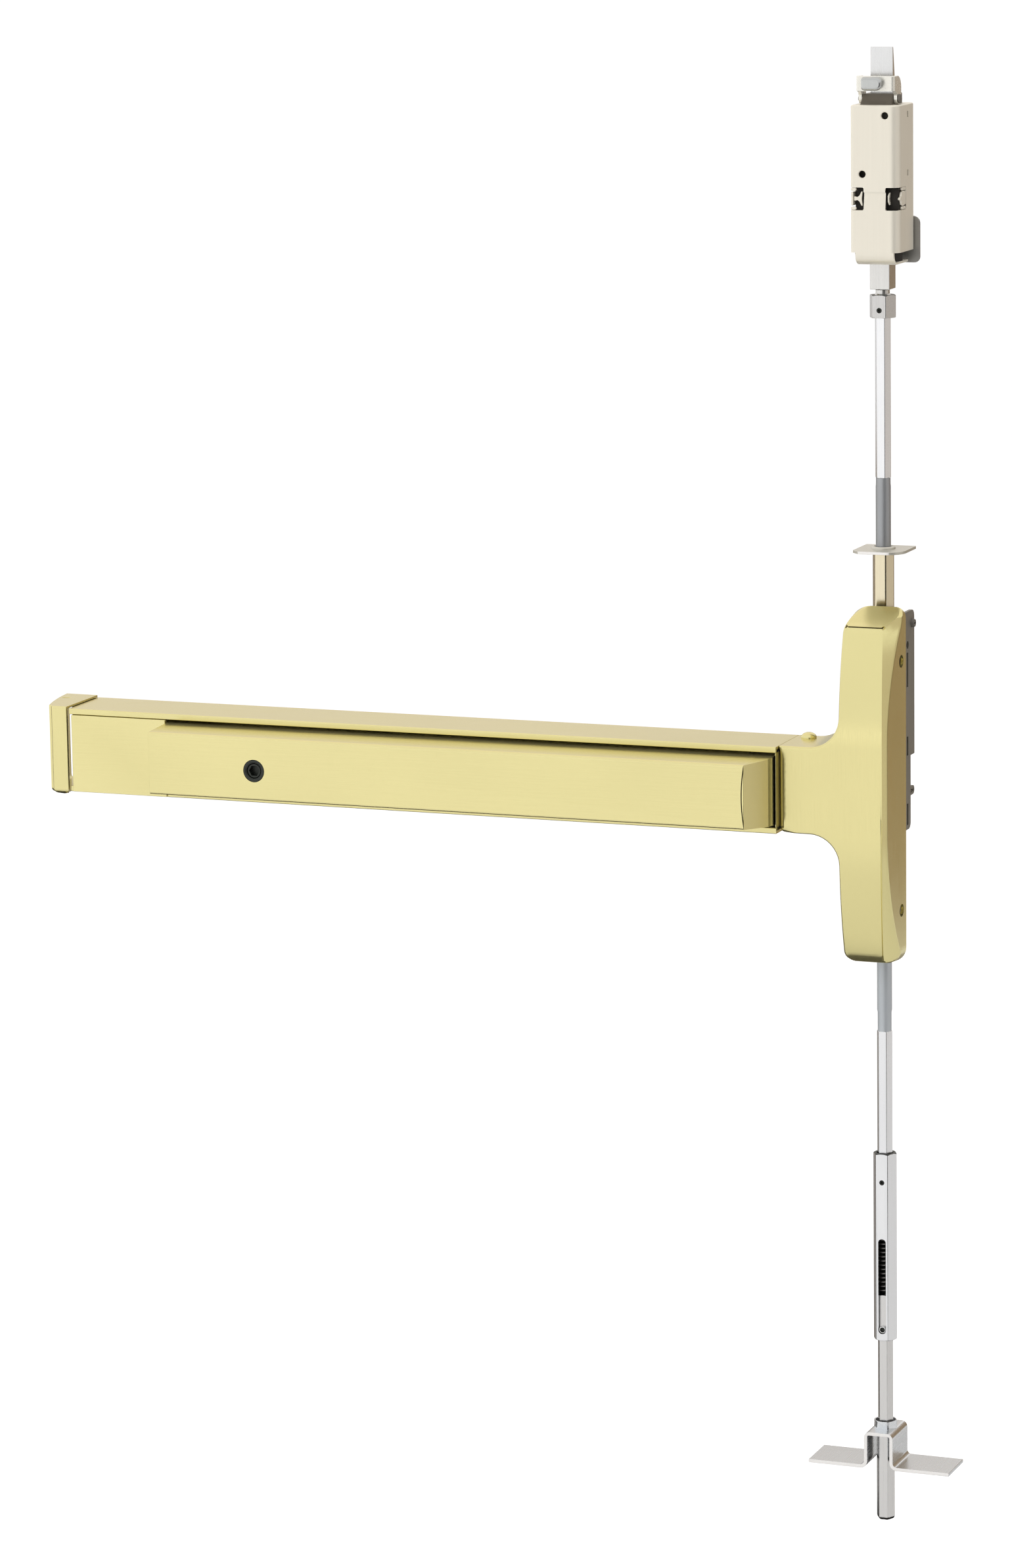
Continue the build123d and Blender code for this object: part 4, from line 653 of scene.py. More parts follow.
def cover_face(x, z, wall=0.0):
    """How far the cover stands off the door at a point of its front."""
    foot = max(z + 161, 21.5)
    if z < crease:
        edge = cover_bow(z)
    elif z < 132.33:
        edge = 26 - (z - crease) * 0.366
    else:
        edge = 2.104 * (143.5 - z)
    depth = min(cover_bow(z), 2 * (cover_high - z), foot)
    start = bevel_start(z)
    depth = min(depth, edge - (x - start) * 1.489)
    if not wall:
        if x < start:
            depth -= 1.2 * min(max((0.4 - abs(z - crease)) / 0.1, 0), 1)
        if z < crease:
            low = min(max((20 - z) / 140, 0.12), 1)
            depth -= 0.9 * low * max(1 - max(abs(x - start + 0.55) - 0.15, 0) / 0.4, 0)
        off = sqrt((x - start) ** 2 + (z - crease) ** 2)
        depth -= 1.6 * min(max((1.3 - off) / 0.5, 0), 1)
    return max(depth, 0) - wall


cover_counts = []


def cover_ring(depth, pull):
    """Outline of the cover at a depth, pulled in, each run cut into the same number of pieces."""
    draft = cover_draft * depth + pull
    left, right = cover_mid - cover_half + draft, cover_mid + cover_half - 0.018 * depth - pull
    top, foot = cover_high - draft, cover_low + draft
    neck, end = cover_neck - pull, cover_end + pull
    corners = [(left, top), (right, top), (right, foot), (left, foot)]
    corners += [(left, -neck), (end, -neck), (end, neck), (left, neck)]
    radii = [18 - draft, 8 - draft, 12 - draft, 12 - draft]
    radii += [24 + pull, 4 - pull, 0.5 - pull, 24 + pull]
    points = rounded(corners, [max(radius, 0.4) for radius in radii], 10)
    after = points[1:] + points[:1]
    if not cover_counts:
        cover_counts.extend(max(1, round((b - a).length / 3.0)) for a, b in zip(points, after))
    runs = zip(points, after, cover_counts)
    return [a.lerp(b, n / count) for a, b, count in runs for n in range(count)]


def inside(point, points):
    """True if a point lies within an outline."""
    odd = False
    for a, b in zip(points, points[1:] + points[:1]):
        if (a.y > point[1]) != (b.y > point[1]):
            if point[0] < a.x + (b.x - a.x) * (point[1] - a.y) / (b.y - a.y):
                odd = not odd
    return odd


def edge_roll(spot, wall):
    """Radius that the rim is rolled to: wide at the neck's end, tight elsewhere."""
    wide = min(max((-50 - spot.x) / 8, 0), 1) * min(max((33.5 - spot.y) / 4, 0), 1)
    return max(1.4 + 3.2 * wide - wall, 0.4)


def cover_skin(bm, wall):
    """Side, rolled edge and front of the cover, or of its hollow; gives back the rim at the door."""
    total = len(cover_ring(0, 0))
    flat = {}

    def at(n, depth, pull):
        """Sample n of the outline at a depth, found from rings half a millimetre apart."""
        step = int(depth * 2)
        for key in (step, step + 1):
            if (key, pull) not in flat:
                flat[key, pull] = cover_ring(key / 2, pull)
        return flat[step, pull][n].lerp(flat[step + 1, pull][n], depth * 2 - step)

    rims = []
    for n in range(total):
        depth = 30.0
        for _ in range(25):
            depth = max(cover_face(*at(n, depth, wall), wall), 0)
        rims.append(depth)
    rows = [[bm.verts.new((*at(n, 0, wall), 0)) for n in range(total)]]
    for share in (0.35, 0.7):
        row = []
        for n, depth in enumerate(rims):
            roll = min(edge_roll(at(n, depth, wall), wall), depth * 0.5)
            here = (depth - roll) * share
            row.append(bm.verts.new((*at(n, here, wall), here)))
        rows.append(row)
    steps = 6
    for k in range(steps + 1):
        way = pi / 2 * k / steps
        row = []
        for n, depth in enumerate(rims):
            roll = min(edge_roll(at(n, depth, wall), wall), depth * 0.5)
            pull = round(roll * (1 - cos(way)), 1)
            spot = at(n, max(depth - roll * (1 - sin(way)), 0), wall + pull)
            here = max(cover_face(*spot, wall) - roll * (1 - sin(way)), 0)
            row.append(bm.verts.new((*spot, here)))
        rows.append(row)
    for lower, upper in zip(rows, rows[1:]):
        for n in range(total):
            bm.faces.new((lower[n - 1], lower[n], upper[n], upper[n - 1]))
    border = [Vector(v.co[:2]) for v in rows[-1]]
    keep = inset(border, 1.2)
    points, edges = list(border), []
    meeting = Vector((crease_right, crease))
    lines = []
    down = [crease - 1.9 - 2.4 * n for n in range(109)]
    if not wall:
        for up in (-0.4, -0.3, 0.3, 0.4):
            lines.append([Vector((-36 + 0.75 * n, crease + up)) for n in range(66)])
        for side in (-1.1, -0.7, -0.4):
            lines.append([Vector((bevel_start(z) + side, z)) for z in down])
        for radius, count in ((0.5, 8), (0.8, 12), (1.3, 16)):
            ring = [2 * pi * n / count for n in range(count)]
            points += [Vector((crease_right + radius * cos(w), crease + radius * sin(w))) for w in ring]
        points.append(meeting)
    lines.append([Vector((bevel_start(z), z)) for z in down])
    fold = [Vector((crease_right + 7.48 * n / 10, crease + 6.83 * n / 10)) for n in range(11)]
    fold += [Vector((22.28 - 0.07 * n, 132.33 + n)) for n in range(1, 6)]
    lines.append(fold)
    for run in lines:
        clear = [p for p in run if inside(p, keep) and (p - meeting).length > 1.4]
        edges += [(len(points) + n, len(points) + n + 1) for n in range(len(clear) - 1)]
        points += clear
    for column in range(-29, 12):
        for row in range(-60, 59):
            spot = Vector((column * 2.2 + (row % 2) * 1.1, row * 2.4))
            near = -1.9 < spot.x - bevel_start(spot.y) < 0.8 or abs(spot.y - crease) < 1.3
            near = near or min((spot - p).length for p in fold) < 1.0
            if not near and inside(spot, keep):
                points.append(spot)
    verts, _, faces, sources, _, _ = delaunay_2d_cdt(points, edges, [list(range(total))], 1, 1e-5)
    made = []
    for spot, source in zip(verts, sources):
        first = [n for n in source if n < total]
        if first:
            made.append(rows[-1][first[0]])
        else:
            made.append(bm.verts.new((*spot, cover_face(*spot, wall))))
    for face in faces:
        corners = [made[n] for n in face]
        if len(set(corners)) == 3:
            bm.faces.new(corners)
    return rows[0]


bm = bmesh.new()
outer = cover_skin(bm, 0.0)
inner = cover_skin(bm, 2.5)
for n in range(len(outer)):
    bm.faces.new((outer[n - 1], outer[n], inner[n], inner[n - 1]))
for vert in bm.verts:
    vert.co = (vert.co.x, -vert.co.z, vert.co.y)
bmesh.ops.remove_doubles(bm, verts=bm.verts, dist=0.01)
cover = piece("cover_casting", bm, brass_upright, 24)
for hole_z in (98, -98):
    bm = bmesh.new()
    turned(bm, [(0, 15), (5.0, 15), (5.0, 30), (0, 30)], (-11, hole_z), "X", 40)
    carve(cover, bm)
bm = bmesh.new()
slab(bm, oblong(-42, -31, 1, 31), -64, -58, "X", 0.3)
carve(cover, bm)
# Painted shade: the faces of the groove along the front's top crease, left of the bevel, are painted near
# black.
paint_light_and_shade(
    cover,
    painted_shade_line,
    lambda spot, way: abs(spot.z - crease) < 0.31 and spot.x < crease_right and spot.y < -9,
)
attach(cover, "chassis")
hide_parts("centre_cover")

bm = bmesh.new()
dome = [(0, 29.5), (2, 29.5), (2, 34.15), (6.2, 34.15), (6.2, 34.9), (6.0, 35.6), (5.2, 36.7)]
dome += [(3.9, 37.7), (2.2, 38.35), (0, 38.55)]
turned(bm, dome, (-51, -9.5), "Z", 40)
dome_screw = piece("cover_dome_head", bm, brass_upright)
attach(dome_screw, "chassis")
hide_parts("cover_dome_screw")
dress(brass_upright, 0.3, "cover_side_screws")


# Guide tube and plate: a hexagon steel tube, its corners well rounded, that the top rod runs in, and
# a square plate with a collar drawn up round its hole, which steadies the rod above the tube. The
# rods' axis stands behind the door's face, at (x, y).
rod_axis = (0, 22.25)


def bar(bm, flats, turn, levels, closed=False):
    """Hexagon bar on the rods' axis: a level is a height, a radius to keep within and a scale."""
    around = [Vector((cos(pi * n / 3), sin(pi * n / 3))) * (flats / sqrt(3)) for n in range(6)]
    points = rounded(around, turn, 6)
    after = points[1:] + points[:1]
    runs = [(a, b, max(1, round((b - a).length / 0.9))) for a, b in zip(points, after)]
    points = [a.lerp(b, n / count) for a, b, count in runs for n in range(count)]
    rows = []
    for height, keep, *scale in levels:
        flat = [p * min(scale[0] if scale else 1, keep / p.length) for p in points]
        rows.append([bm.verts.new((p.x, rod_axis[1] + p.y, height)) for p in flat])
    for lower, upper in zip(rows, rows[1:] + (rows[:1] if closed else [])):
        for n in range(len(points)):
            bm.faces.new((lower[n - 1], lower[n], upper[n], upper[n - 1]))
    if not closed:
        bm.faces.new(rows[0])
        bm.faces.new(rows[-1])


def faced(flats, low, high, cut):
    """Levels of a bar with both ends faced off at thirty degrees."""
    full = flats / sqrt(3)
    keeps = [(cut * n / 4, full - 1.73 * cut * (1 - n / 4)) for n in range(5)]
    low_end = [(low + deep, keep) for deep, keep in keeps]
    return low_end + [(high - deep, keep) for deep, keep in reversed(keeps)]


tube_zinc = metal("bright_tube", (0.77, 0.69, 0.50), 1.0, 0.2, grain="Z", fine=1500, scratch=0.12)
bm = bmesh.new()
bar(bm, 15.5, 2.6, faced(15.5, 116.0, 178.0, 0.3) + [(178.0, 6.15), (116.0, 6.15)], True)
guide_tube = piece("rod_guide_tube", bm, tube_zinc)
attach(guide_tube, "chassis")
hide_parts("rod_tube")

plate_zinc = metal("pale_zinc_plate", (0.61, 0.59, 0.52), 0.55, 0.34, grain="X", fine=500, scratch=0.15)
bm = bmesh.new()
plate = [(-20.3, 8.1), (-14.2, 1.95), (20.3, 1.95), (20.3, 42.55), (-20.3, 42.55)]
turns = [pi * n / 20 for n in range(40)]
hole = [Vector((6.75 * cos(w), rod_axis[1] + 6.75 * sin(w))) for w in turns]
slab(bm, rounded(plate, [1, 1, 14, 1, 1], 10), 178.0, 180.2, "Z", 0.2, 0.3, holes=[hole])
collar = [(6.8, 178.3), (9.6, 178.3), (9.6, 180.1), (9.3, 181.5), (8.6, 182.2)]
collar += [(7.3, 182.3), (6.8, 181.7), (6.8, 178.3)]
turned(bm, collar, rod_axis, "Z", 48)
bmesh.ops.remove_doubles(bm, verts=bm.verts, dist=0.001)
stile_plate = piece("stile_guide_plate", bm, plate_zinc)
# Painted light: the plate's downward faces get a lighter, matt colour of their own.
painted_light_underside = metal("painted_light_plate_underside", (0.80, 0.78, 0.70), 0.1, 0.6, grain="X", fine=300)
paint_light_and_shade(stile_plate, painted_light_underside, lambda spot, way: way.z < -0.9)
# Painted highlight: the plate's front facing edge faces get a near white colour.
painted_highlight_edge = metal("painted_highlight_front_edge", (0.94, 0.92, 0.90), 0.3, 0.36, grain="X", fine=400)
paint_light_and_shade(stile_plate, painted_highlight_edge, lambda spot, way: way.y < -0.8 and spot.y < 3)
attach(stile_plate, "chassis")
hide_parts("guide_plate")


# Top rod: drawn hexagon steel bar that turns into a duller round end, coupled by a nut and a set
# screw to the stud of the square block that carries the bolt. The nut's end faces are painted near
# black as painted shade.
def locking_screw(name, height, front):
    """Blackened set screw with a hexagon socket, let into the rod's front at a height."""
    bm = bmesh.new()
    stem = [(0, 17.5), (2.0, 17.5), (2.0, front + 0.3), (1.75, front), (0, front)]
    turned(bm, stem, (0, height), "Y", 32)
    made = piece(name, bm, blackened_and_painted_shade)
    bm = bmesh.new()
    key = [Vector((1.2 * cos(pi * n / 3), height + 1.2 * sin(pi * n / 3))) for n in range(6)]
    slab(bm, key, front - 0.6, front + 1.6, "Y", 0.02)
    carve(made, bm)
    return made


bar_grey = (0.80, 0.805, 0.82)
drawn = metal("drawn_hexagon_bar", bar_grey, 1.0, 0.2, grain="Z", fine=1800, scratch=0.06, drift=0.03)
nut_steel = metal("turned_nut_steel", (0.58, 0.57, 0.56), 1.0, 0.26, grain="Z", fine=900, scratch=0.1)
round_end = metal("dull_round_end", (0.38, 0.39, 0.405), 0.7, 0.4, grain="Z", fine=900, scratch=0.15)
bm = bmesh.new()
bar(bm, 11.1, 1.0, faced(11.1, 235.7, 371.0, 0.4))
top_rod = piece("top_rod_hexagon", bm, drawn)
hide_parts("top_rod")
bm = bmesh.new()
shank = [(0, 40), (3.6, 40), (4, 40.4), (4, 54), (5.6, 54), (5.9, 54.4)]
shank += [(5.9, 229), (5.7, 231), (5.7, 236), (0, 236)]
turned(bm, shank, rod_axis, "Z", 48)
top_shank = piece("top_rod_round_end", bm, round_end)

bm = bmesh.new()
bar(bm, 18.4, 1.1, faced(18.4, 359.6, 377.1, 0.5))
nut = piece("rod_coupling_nut", bm, nut_steel)
bm = bmesh.new()
nut_screw_high = 365.6
turned(bm, [(0, 12), (2.1, 12), (2.1, 15.6), (0, 15.6)], (0, nut_screw_high), "Y", 32)
carve(nut, bm)
# Painted shade: the nut's upward faces and its bottom face are painted near black.
paint_light_and_shade(nut, blackened_and_painted_shade, lambda spot, way: way.z > 0.3 or way.z < -0.9)
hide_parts("coupling_nut")

nut_screw = locking_screw("nut_locking_screw", nut_screw_high, 13.6)
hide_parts("nut_set_screw")

block_steel = metal("ground_steel_block", (0.66, 0.65, 0.63), 1.0, 0.28, grain="Z", fine=900, scratch=0.15)
bm = bmesh.new()
slab(bm, rounded(oblong(-7.95, 14.3, 7.95, 30.2), 0.5, 4), 381.6, 432.0, "Z", 0.4)
stud = [(0, 371.3), (5.8, 371.3), (6.2, 371.8), (6.2, 377.2)]
stud += [(5.5, 378.0), (5.5, 380.9), (6.2, 381.7), (0, 381.7)]
turned(bm, stud, rod_axis, "Z", 48)
block = piece("bolt_connecting_block", bm, block_steel)
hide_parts("connecting_block")
for part in (top_rod, top_shank, nut, nut_screw, block):
    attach(part, "top_rod")

# Latch case: zinc plated sheet folded round three sides and over the top, its corners softly bent,
# with a window cut out of each front corner, two screw holes and two narrow slots in each side.
warm_white = (0.86, 0.81, 0.70)
cream = metal("warm_zinc_case", warm_white, 0.35, 0.38, fine=500, scratch=0.15, worn=0, drift=0.03)
case_half, case_front, case_low, case_high = 19.3, 1.8, 410.8, 523.0
upper_hole, lower_hole = 515.0, 470.5
corners = [(-case_half, 40.6), (-case_half, case_front), (case_half, case_front), (case_half, 40.6)]
bm = bmesh.new()
slab(bm, rounded(corners, [0.6, 2.4, 7.0, 1.5], 12), case_low, case_high, "Z", 0.05, 1.3)
case = piece("latch_case_fold", bm, cream)
bm = bmesh.new()
room = [(-17.3, 46), (-17.3, 3.8), (17.3, 3.8), (17.3, 46)]
slab(bm, rounded(room, [0.1, 1.0, 1.8, 0.1]), case_low - 3, 521.5, "Z", 0.1)
carve(case, bm)
bm = bmesh.new()
slab(bm, oblong(-12.6, 4.8, 12.6, 34.2), 519, 525, "Z", 0.05)
for x, z in ((8.3, upper_hole), (-9.8, lower_hole)):
    turned(bm, [(0, 0), (3.2, 0), (3.2, 1.8), (2.75, 2.2), (2.75, 5), (0, 5)], (x, z), "Y", 40)
for z in (upper_hole, lower_hole):
    slab(bm, rounded(oblong(24.2, z - 2.4, 27.0, z + 2.4), 0.5), -22, 22, "X", 0.05)
carve(case, bm)
window_low, window_high = 443.1, 460.5
bm = bmesh.new()
for side in (-1, 1):
    window = oblong(side * 8.6, window_low, side * 21, window_high)
    slab(bm, rounded(window, 1.2), -1, 20.5, "Y", 0.1)
carve(case, bm)
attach(case, "chassis")
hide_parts("latch_case", "case_top_plate")

# Case lip: the front sheet curled under and run back as a floor for the spring, with a square hole
# for the connecting block. A near black cup on the floor round the spring is painted shade, a dark
# piece that stands for the shade inside the case.
bm = bmesh.new()
curl = [(1.8, 410.9), (1.8, 401.3), (38, 401.3), (38, 403.3), (3.8, 403.3), (3.8, 410.9)]
slab(bm, rounded(curl, [0.1, 8, 0.6, 0.6, 6, 0.1], 10), -15.6, 15.6, "X", 0.7)
lip = piece("latch_case_lip", bm, cream)
bm = bmesh.new()
slab(bm, rounded(oblong(-8.5, 13.75, 8.5, 30.75), 0.8), 399, 406, "Z", 0.1)
carve(lip, bm)
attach(lip, "chassis")

# Dark nylon for the bolt guide's body and the bottom bushing; the same near black serves as painted shade
# on the case's inner sheet and spring cup.
nylon_and_painted_shade = metal("dark_nylon_and_painted_shade", (0.014, 0.011, 0.008), 0.0, 0.6, grain="X", fine=300)
nylon_and_painted_shade.node_tree.nodes["Principled BSDF"].inputs["Specular IOR Level"].default_value = 0.25
bm = bmesh.new()
# Painted shade: a near black cup round the spring's foot darkens the inside of the case.
shade_cup_profile = [(14.2, 404.4), (14.2, 410.4), (15.3, 410.4), (15.3, 403.3)]
shade_cup_profile += [(9.4, 403.3), (9.4, 404.4), (14.2, 404.4)]
turned(bm, shade_cup_profile, rod_axis, "Z", 48)
bmesh.ops.remove_doubles(bm, verts=bm.verts, dist=0.001)
shade_cup = piece("painted_shade_spring_cup", bm, nylon_and_painted_shade)
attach(shade_cup, "chassis")

# Case tongues: pressed cream lugs that show in the corner windows, a fan on the left, a crescent and
# a bulb on the right, with small tabs above and below. A near black sheet behind them is painted shade.
fan = [(-17.2, 450.0), (-14.4, 450.6), (-12.8, 449.4), (-11.2, 446.2), (-10.2, 446.4), (-10.9, 451.8)]
fan += [(-10.2, 457.2), (-11.2, 457.4), (-12.8, 454.2), (-14.4, 453.0), (-17.2, 453.6)]
crescent = [(10.8, 446.6), (9.5, 449.6), (9.5, 454.0), (10.8, 457.0)]
crescent += [(11.3, 456.2), (10.7, 451.8), (11.3, 447.4)]
bulb = [(20.4, 446.8), (14, 446.0), (10.4, 447.0), (9.4, 450.0), (6.6, 450.8), (5.2, 451.8)]
bulb += [(6.6, 452.8), (9.4, 453.6), (10.4, 456.6), (14, 457.6), (20.4, 456.8)]
bm = bmesh.new()
slab(bm, rounded(fan, 0.45, 4), 4.6, 6.4, "Y", 0.3)
slab(bm, rounded(crescent, 0.4, 4), 5.2, 8.2, "Y", 0.3)
slab(bm, rounded(bulb, 0.6, 4), 17.4, 19.2, "X", 0.5)
slab(bm, rounded(oblong(-19.2, 3.6, -17.4, 20.4), 0.5, 3), 446.6, 457.0, "Z", 0.4)
for level_z in (443.4, 457.9):
    level_top = level_z + 2.3
    left_tab = oblong(-19.0, level_z, -14.6, level_top)
    slab(bm, rounded(left_tab, 1.0, 4), 2.0, 4.2, "Y", 0.5)
    right_tab = oblong(11.4, level_z, 20.4, level_top)
    slab(bm, rounded(right_tab, 1.0, 4), 17.3, 19.25, "X", 0.5)
tongues = piece("latch_case_tongues", bm, cream)
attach(tongues, "chassis")
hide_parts("case_lugs")

# Painted shade: a near black sheet behind the windows darkens the inside of the case.
bm = bmesh.new()
shade_sheet_outline = [(-17.2, 38), (-17.2, 8.6), (17.2, 8.6), (17.2, 38)]
shade_sheet_outline += [(16.4, 38), (16.4, 9.6), (-16.4, 9.6), (-16.4, 38)]
slab(bm, rounded(shade_sheet_outline, 0.3, 3), 438, 497, "Z", 0.1)
shade_sheet = piece("painted_shade_case_sheet", bm, nylon_and_painted_shade)
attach(shade_sheet, "chassis")

# Back plate: a flat, dull zinc plated steel plate behind the case's foot, its corners rounded. It
# lies between the case and the door.
dull_zinc = metal("dull_zinc_plate", (0.34, 0.33, 0.31), 0.7, 0.42, grain="X", fine=400, drift=0.1)
bm = bmesh.new()
plate = oblong(-14.5, 400.2, 23.5, 436)
slab(bm, rounded(plate, [3, 4.5, 5.5, 3], 8), 42.7, 44.4, "Y", 0.4)
back_plate = piece("latch_back_plate", bm, dull_zinc)
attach(back_plate, "chassis")
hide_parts("case_back_plate")

# Bolt guide: dark moulded body in the case's top, its nose sloped to the front and rising through
# the case's top, cored out for the flat bolt.
smoked = metal("smoked_moulding", (0.115, 0.098, 0.074), 0.25, 0.38, grain="X", fine=260, scratch=0.2)
bm = bmesh.new()
nose = [(5.0, 519), (5.0, 523.2), (12.4, 531), (34, 531), (34, 519)]
slab(bm, rounded(nose, [0.2, 1.2, 1.6, 1.0, 0.2], 5), -12.4, 12.4, "X", 0.9)
guide_nose = piece("bolt_guide_nose", bm, smoked)
bm = bmesh.new()
bolt_way = oblong(-9.15, 20.6, 9.15, 30.7)
slab(bm, bolt_way, 517, 533, "Z", 0.05)
carve(guide_nose, bm)
bm = bmesh.new()
body = rounded(oblong(-17.1, 5.2, 17.1, 38.6), 1.0, 4)
slab(bm, body, 498, 519.4, "Z", 0.4, holes=[bolt_way])
guide_body = piece("bolt_guide_body", bm, nylon_and_painted_shade)
for part in (guide_nose, guide_body):
    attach(part, "chassis")
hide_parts("bolt_guide")

# Top bolt and its carrier: a flat steel bolt with a bevelled tip, pinned in a grey cast block. The
# coil spring below the block stands in its cup and pushes the bolt up.
dress(cast, 0.4, "bolt_carrier")
dress(bright, 0.3, "top_bolt")
wire = metal("oiled_spring_wire", (0.20, 0.19, 0.18), 0.8, 0.35, grain="Z", fine=400)
case_coil = copied("case_coil_spring", "case_spring", wire)
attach(case_coil, "chassis")
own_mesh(case_coil)

# Trip lever: bright strap folded round the case's top, its arms rounded at the back and pinned to
# the guide's nose. A polished grey pad on its left half meets the door frame.
strap_zinc = metal("bright_strap", (0.86, 0.84, 0.77), 0.55, 0.26, grain="X", fine=500, scratch=0.12)
strap = [(-15.3, 24), (-15.3, 4.5), (15.3, 4.5), (15.3, 24)]
strap += [(12.8, 24), (12.8, 7), (-12.8, 7), (-12.8, 24)]
bm = bmesh.new()
slab(bm, rounded(strap, [0.5, 1.6, 3.0, 0.5, 0.5, 1.6, 0.8, 0.5], 6), 522, 544.8, "Z", 0.3, 0.5)
trip_strap = piece("trip_lever_strap", bm, strap_zinc)
pivot = (15, 527.3)
turns = [radians(w) for w in range(180, 286, 15)]
ear = [(pivot[0] + 3.9 * cos(w), pivot[1] + 3.9 * sin(w)) for w in turns]
below = [(0, 518), (0, 533.4), (7.2, 533.4), (9.6, 532.4), (11.1, 530.0)] + ear
below += [(19.2, 524.9), (21.2, 527.0), (22, 529.5), (22, 550), (30, 550), (30, 518)]
behind = [(12.5, 546), (12.5, 544.8)]
turns = [radians(w) for w in range(0, 91, 9)]
behind += [(12.5 + 9.6 * sin(w), 535.2 + 9.6 * cos(w)) for w in turns]
behind += [(23, 535.2), (23, 546)]
for cut in (below, behind):
    bm = bmesh.new()
    slab(bm, cut, -18, 18, "X", 0.02)
    carve(trip_strap, bm)
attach(trip_strap, "trip_lever")
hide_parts("trip_lever")

grey_pad = metal("polished_grey_pad", (0.50, 0.51, 0.50), 0.75, 0.16, grain="Z", fine=300, scratch=0.1)
bm = bmesh.new()
pad_face = oblong(-10.1, 534.0, 6.5, 544.4)
slab(bm, rounded(pad_face, [2.6, 5.1, 4.4, 2.6], 8), -1.0, 4.55, "Y", 2.4, 0.1, steps=8)
bumper = piece("trip_lever_pad", bm, grey_pad)
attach(bumper, "trip_lever")
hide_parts("trip_bumper")

bm = bmesh.new()
pin = [(0, -16.4), (1.7, -16.4), (2.0, -16.1), (2.0, 15.5), (3.3, 15.5)]
pin += [(3.4, 15.8), (3.4, 16.9), (2.9, 17.3), (0, 17.3)]
turned(bm, pin, pivot, "X", 32)
pivot_pin = piece("trip_lever_pin", bm, cast)
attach(pivot_pin, "chassis")
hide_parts("trip_pivot_pin")

# Bottom rod: the same drawn bar with a round upper end. Its foot is held by a set screw in a
# hexagon sleeve, bored through and slotted at the front, bright outside, with painted shade in
# near black on its bore and upward faces.
bm = bmesh.new()
bar(bm, 11.1, 1.0, faced(11.1, -370.6, -203.0, 0.4))
low_rod = piece("bottom_rod_hexagon", bm, drawn)
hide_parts("bottom_rod")
pale_end = metal("pale_round_end", (0.50, 0.53, 0.56), 0.4, 0.42, grain="Z", fine=900, scratch=0.15)
bm = bmesh.new()
shank = [(0, -40), (3.6, -40), (4, -40.4), (4, -54), (5.6, -54), (5.9, -54.4)]
shank += [(5.9, -186), (5.5, -188), (5.5, -204), (0, -204)]
turned(bm, shank, rod_axis, "Z", 48)
low_shank = piece("bottom_rod_round_end", bm, pale_end)

bm = bmesh.new()
bar(bm, 17.0, 1.3, faced(17.0, -454.6, -301.8, 0.8) + [(-301.8, 6.7), (-454.6, 6.7)], True)
sleeve = piece("slotted_sleeve", bm, drawn)
bm = bmesh.new()
sleeve_screw_high = -324.9
slab(bm, rounded(oblong(-3.15, -449, 3.15, -371), 3.1, 8), 12.5, 21.2, "Y", 0.05)
turned(bm, [(0, 12.5), (2.1, 12.5), (2.1, 17.5), (0, 17.5)], (0, sleeve_screw_high), "Y", 32)
carve(sleeve, bm)
# Painted shade: the sleeve's bore and its upward faces are painted near black.
paint_light_and_shade(sleeve, blackened_and_painted_shade, lambda spot, way: (spot.xy - Vector(rod_axis)).length < 7.2 or way.z > 0.3)
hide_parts("adjusting_sleeve")

sleeve_screw = locking_screw("sleeve_locking_screw", sleeve_screw_high, 14.4)
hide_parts("sleeve_set_screw")
for part in (low_rod, low_shank, sleeve, sleeve_screw):
    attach(part, "bottom_rod")
bolt_coil = copied("bolt_coil_spring", "bolt_spring", wire)
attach(bolt_coil, "bottom_rod")
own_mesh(bolt_coil)

# Bottom bolt: a heavier hexagon bar with a rounded foot on a thinner hexagon shaft, which slides in
# the sleeve against the spring. A cup headed keeper screw in the shaft rides in the sleeve's slot.
bolt_steel = metal("bottom_bolt_steel", (0.68, 0.67, 0.66), 1.0, 0.22, grain="Z", fine=1500, scratch=0.08)
bm = bmesh.new()
bar(bm, 11.1, 1.0, faced(11.1, -525.6, -418.0, 0.5))
shaft = piece("bolt_sliding_shaft", bm, bolt_steel)
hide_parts("bolt_shaft")
bm = bmesh.new()
heavy = 13.2
full = heavy / sqrt(3)
turns = [pi * n / 14 for n in range(8)]
foot = [(-601 - 3 * cos(w), full, 1 - 2.6 * (1 - sin(w)) / full) for w in turns]
bar(bm, heavy, 1.4, foot + [(-526.1, full), (-525.4, full - 1.1)])
low_bolt = piece("bottom_bolt_bar", bm, bolt_steel)
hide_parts("bottom_bolt")
bm = bmesh.new()
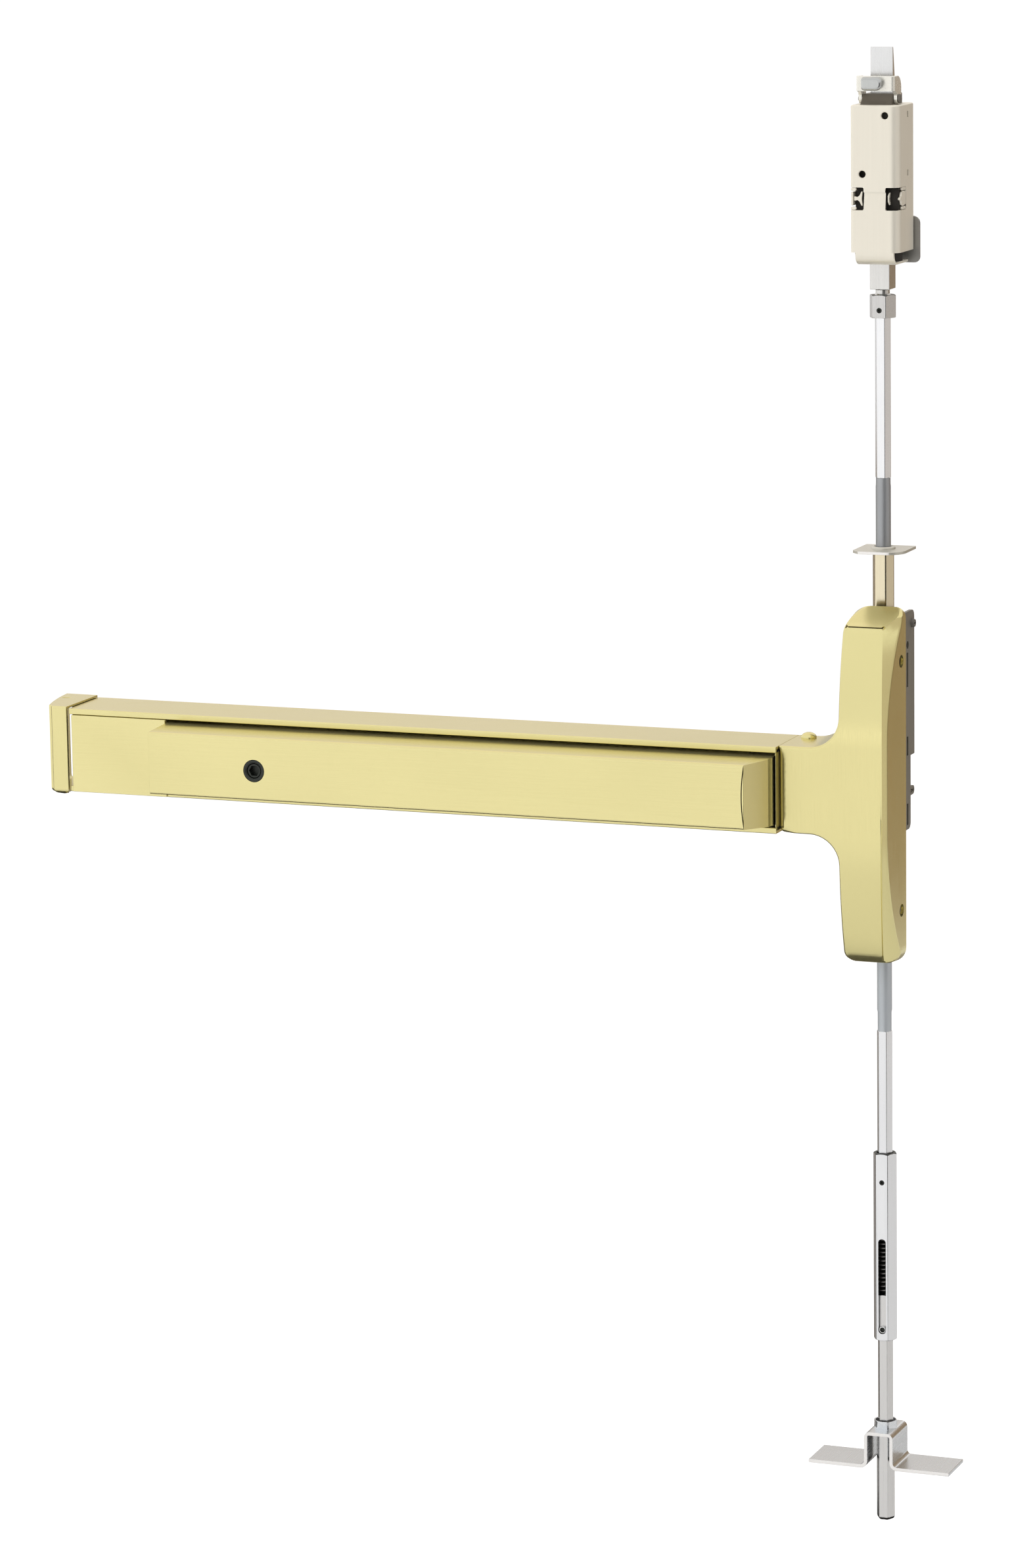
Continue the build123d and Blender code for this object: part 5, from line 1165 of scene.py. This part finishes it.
keeper_high = -445.7
head = [(0, 17.2), (2.85, 17.2), (2.85, 14.9), (2.6, 14.4)]
head += [(2.1, 14.3), (1.9, 14.6), (1.8, 15.9), (0, 16.1)]
turned(bm, head, (0, keeper_high), "Y", 40)
keeper = piece("keeper_cup_screw", bm, bright)
# Painted shade: the hollow of the keeper screw's cup head is painted near black.
paint_light_and_shade(
    keeper,
    blackened_and_painted_shade,
    lambda spot, way: (spot - Vector((0, spot.y, keeper_high))).length < 1.86 and spot.y < 16.5,
)
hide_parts("keeper_screw")
for part in (shaft, low_bolt, keeper):
    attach(part, "bottom_bolt")

# Bottom guide: zinc plated sheet folded like a hat, with two wings that screw up into the door and a
# collar drawn up round the bolt. A dark nylon bushing sits under its crown.
guide_zinc = metal("guide_zinc_sheet", (0.76, 0.78, 0.80), 1.0, 0.26, grain="Y", fine=500, scratch=0.1)
hat = [(-58.5, -554.9), (-12, -554.9), (-12, -527.6), (12, -527.6), (12, -554.9), (58.5, -554.9)]
hat += [(58.5, -557.7), (9.2, -557.7), (9.2, -530.4), (-9.2, -530.4), (-9.2, -557.7), (-58.5, -557.7)]
bm = bmesh.new()
radii = [0.5, 3.4, 4.8, 4.8, 3.4, 0.5, 0.5, 6.0, 1.0, 1.0, 6.0, 0.5]
slab(bm, rounded(hat, radii, 10), 2.5, 42.0, "Y", 0.2)
bottom_guide = piece("bottom_guide_hat", bm, guide_zinc)
bm = bmesh.new()
turned(bm, [(0, -535), (7.8, -535), (7.8, -525), (0, -525)], rod_axis, "Z", 48)
carve(bottom_guide, bm)
# Painted highlight: the sheet's front facing edges get the same near white colour.
paint_light_and_shade(bottom_guide, painted_highlight_edge, lambda spot, way: way.y < -0.8 and spot.y < 3)
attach(bottom_guide, "chassis")
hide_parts("bottom_guide_bracket")
bm = bmesh.new()
flare = [(-528.5, 9.6), (-524.6, 9.2), (-522.2, 9.3), (-521.6, 9.2)]
flare += [(-521.7, 8.1), (-524, 7.8), (-528.5, 7.8)]
bar(bm, 17.2, 2.0, flare, True)
guide_collar = piece("bottom_guide_collar", bm, guide_zinc)
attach(guide_collar, "chassis")
dress(nylon_and_painted_shade, 0.3, "guide_bushing")
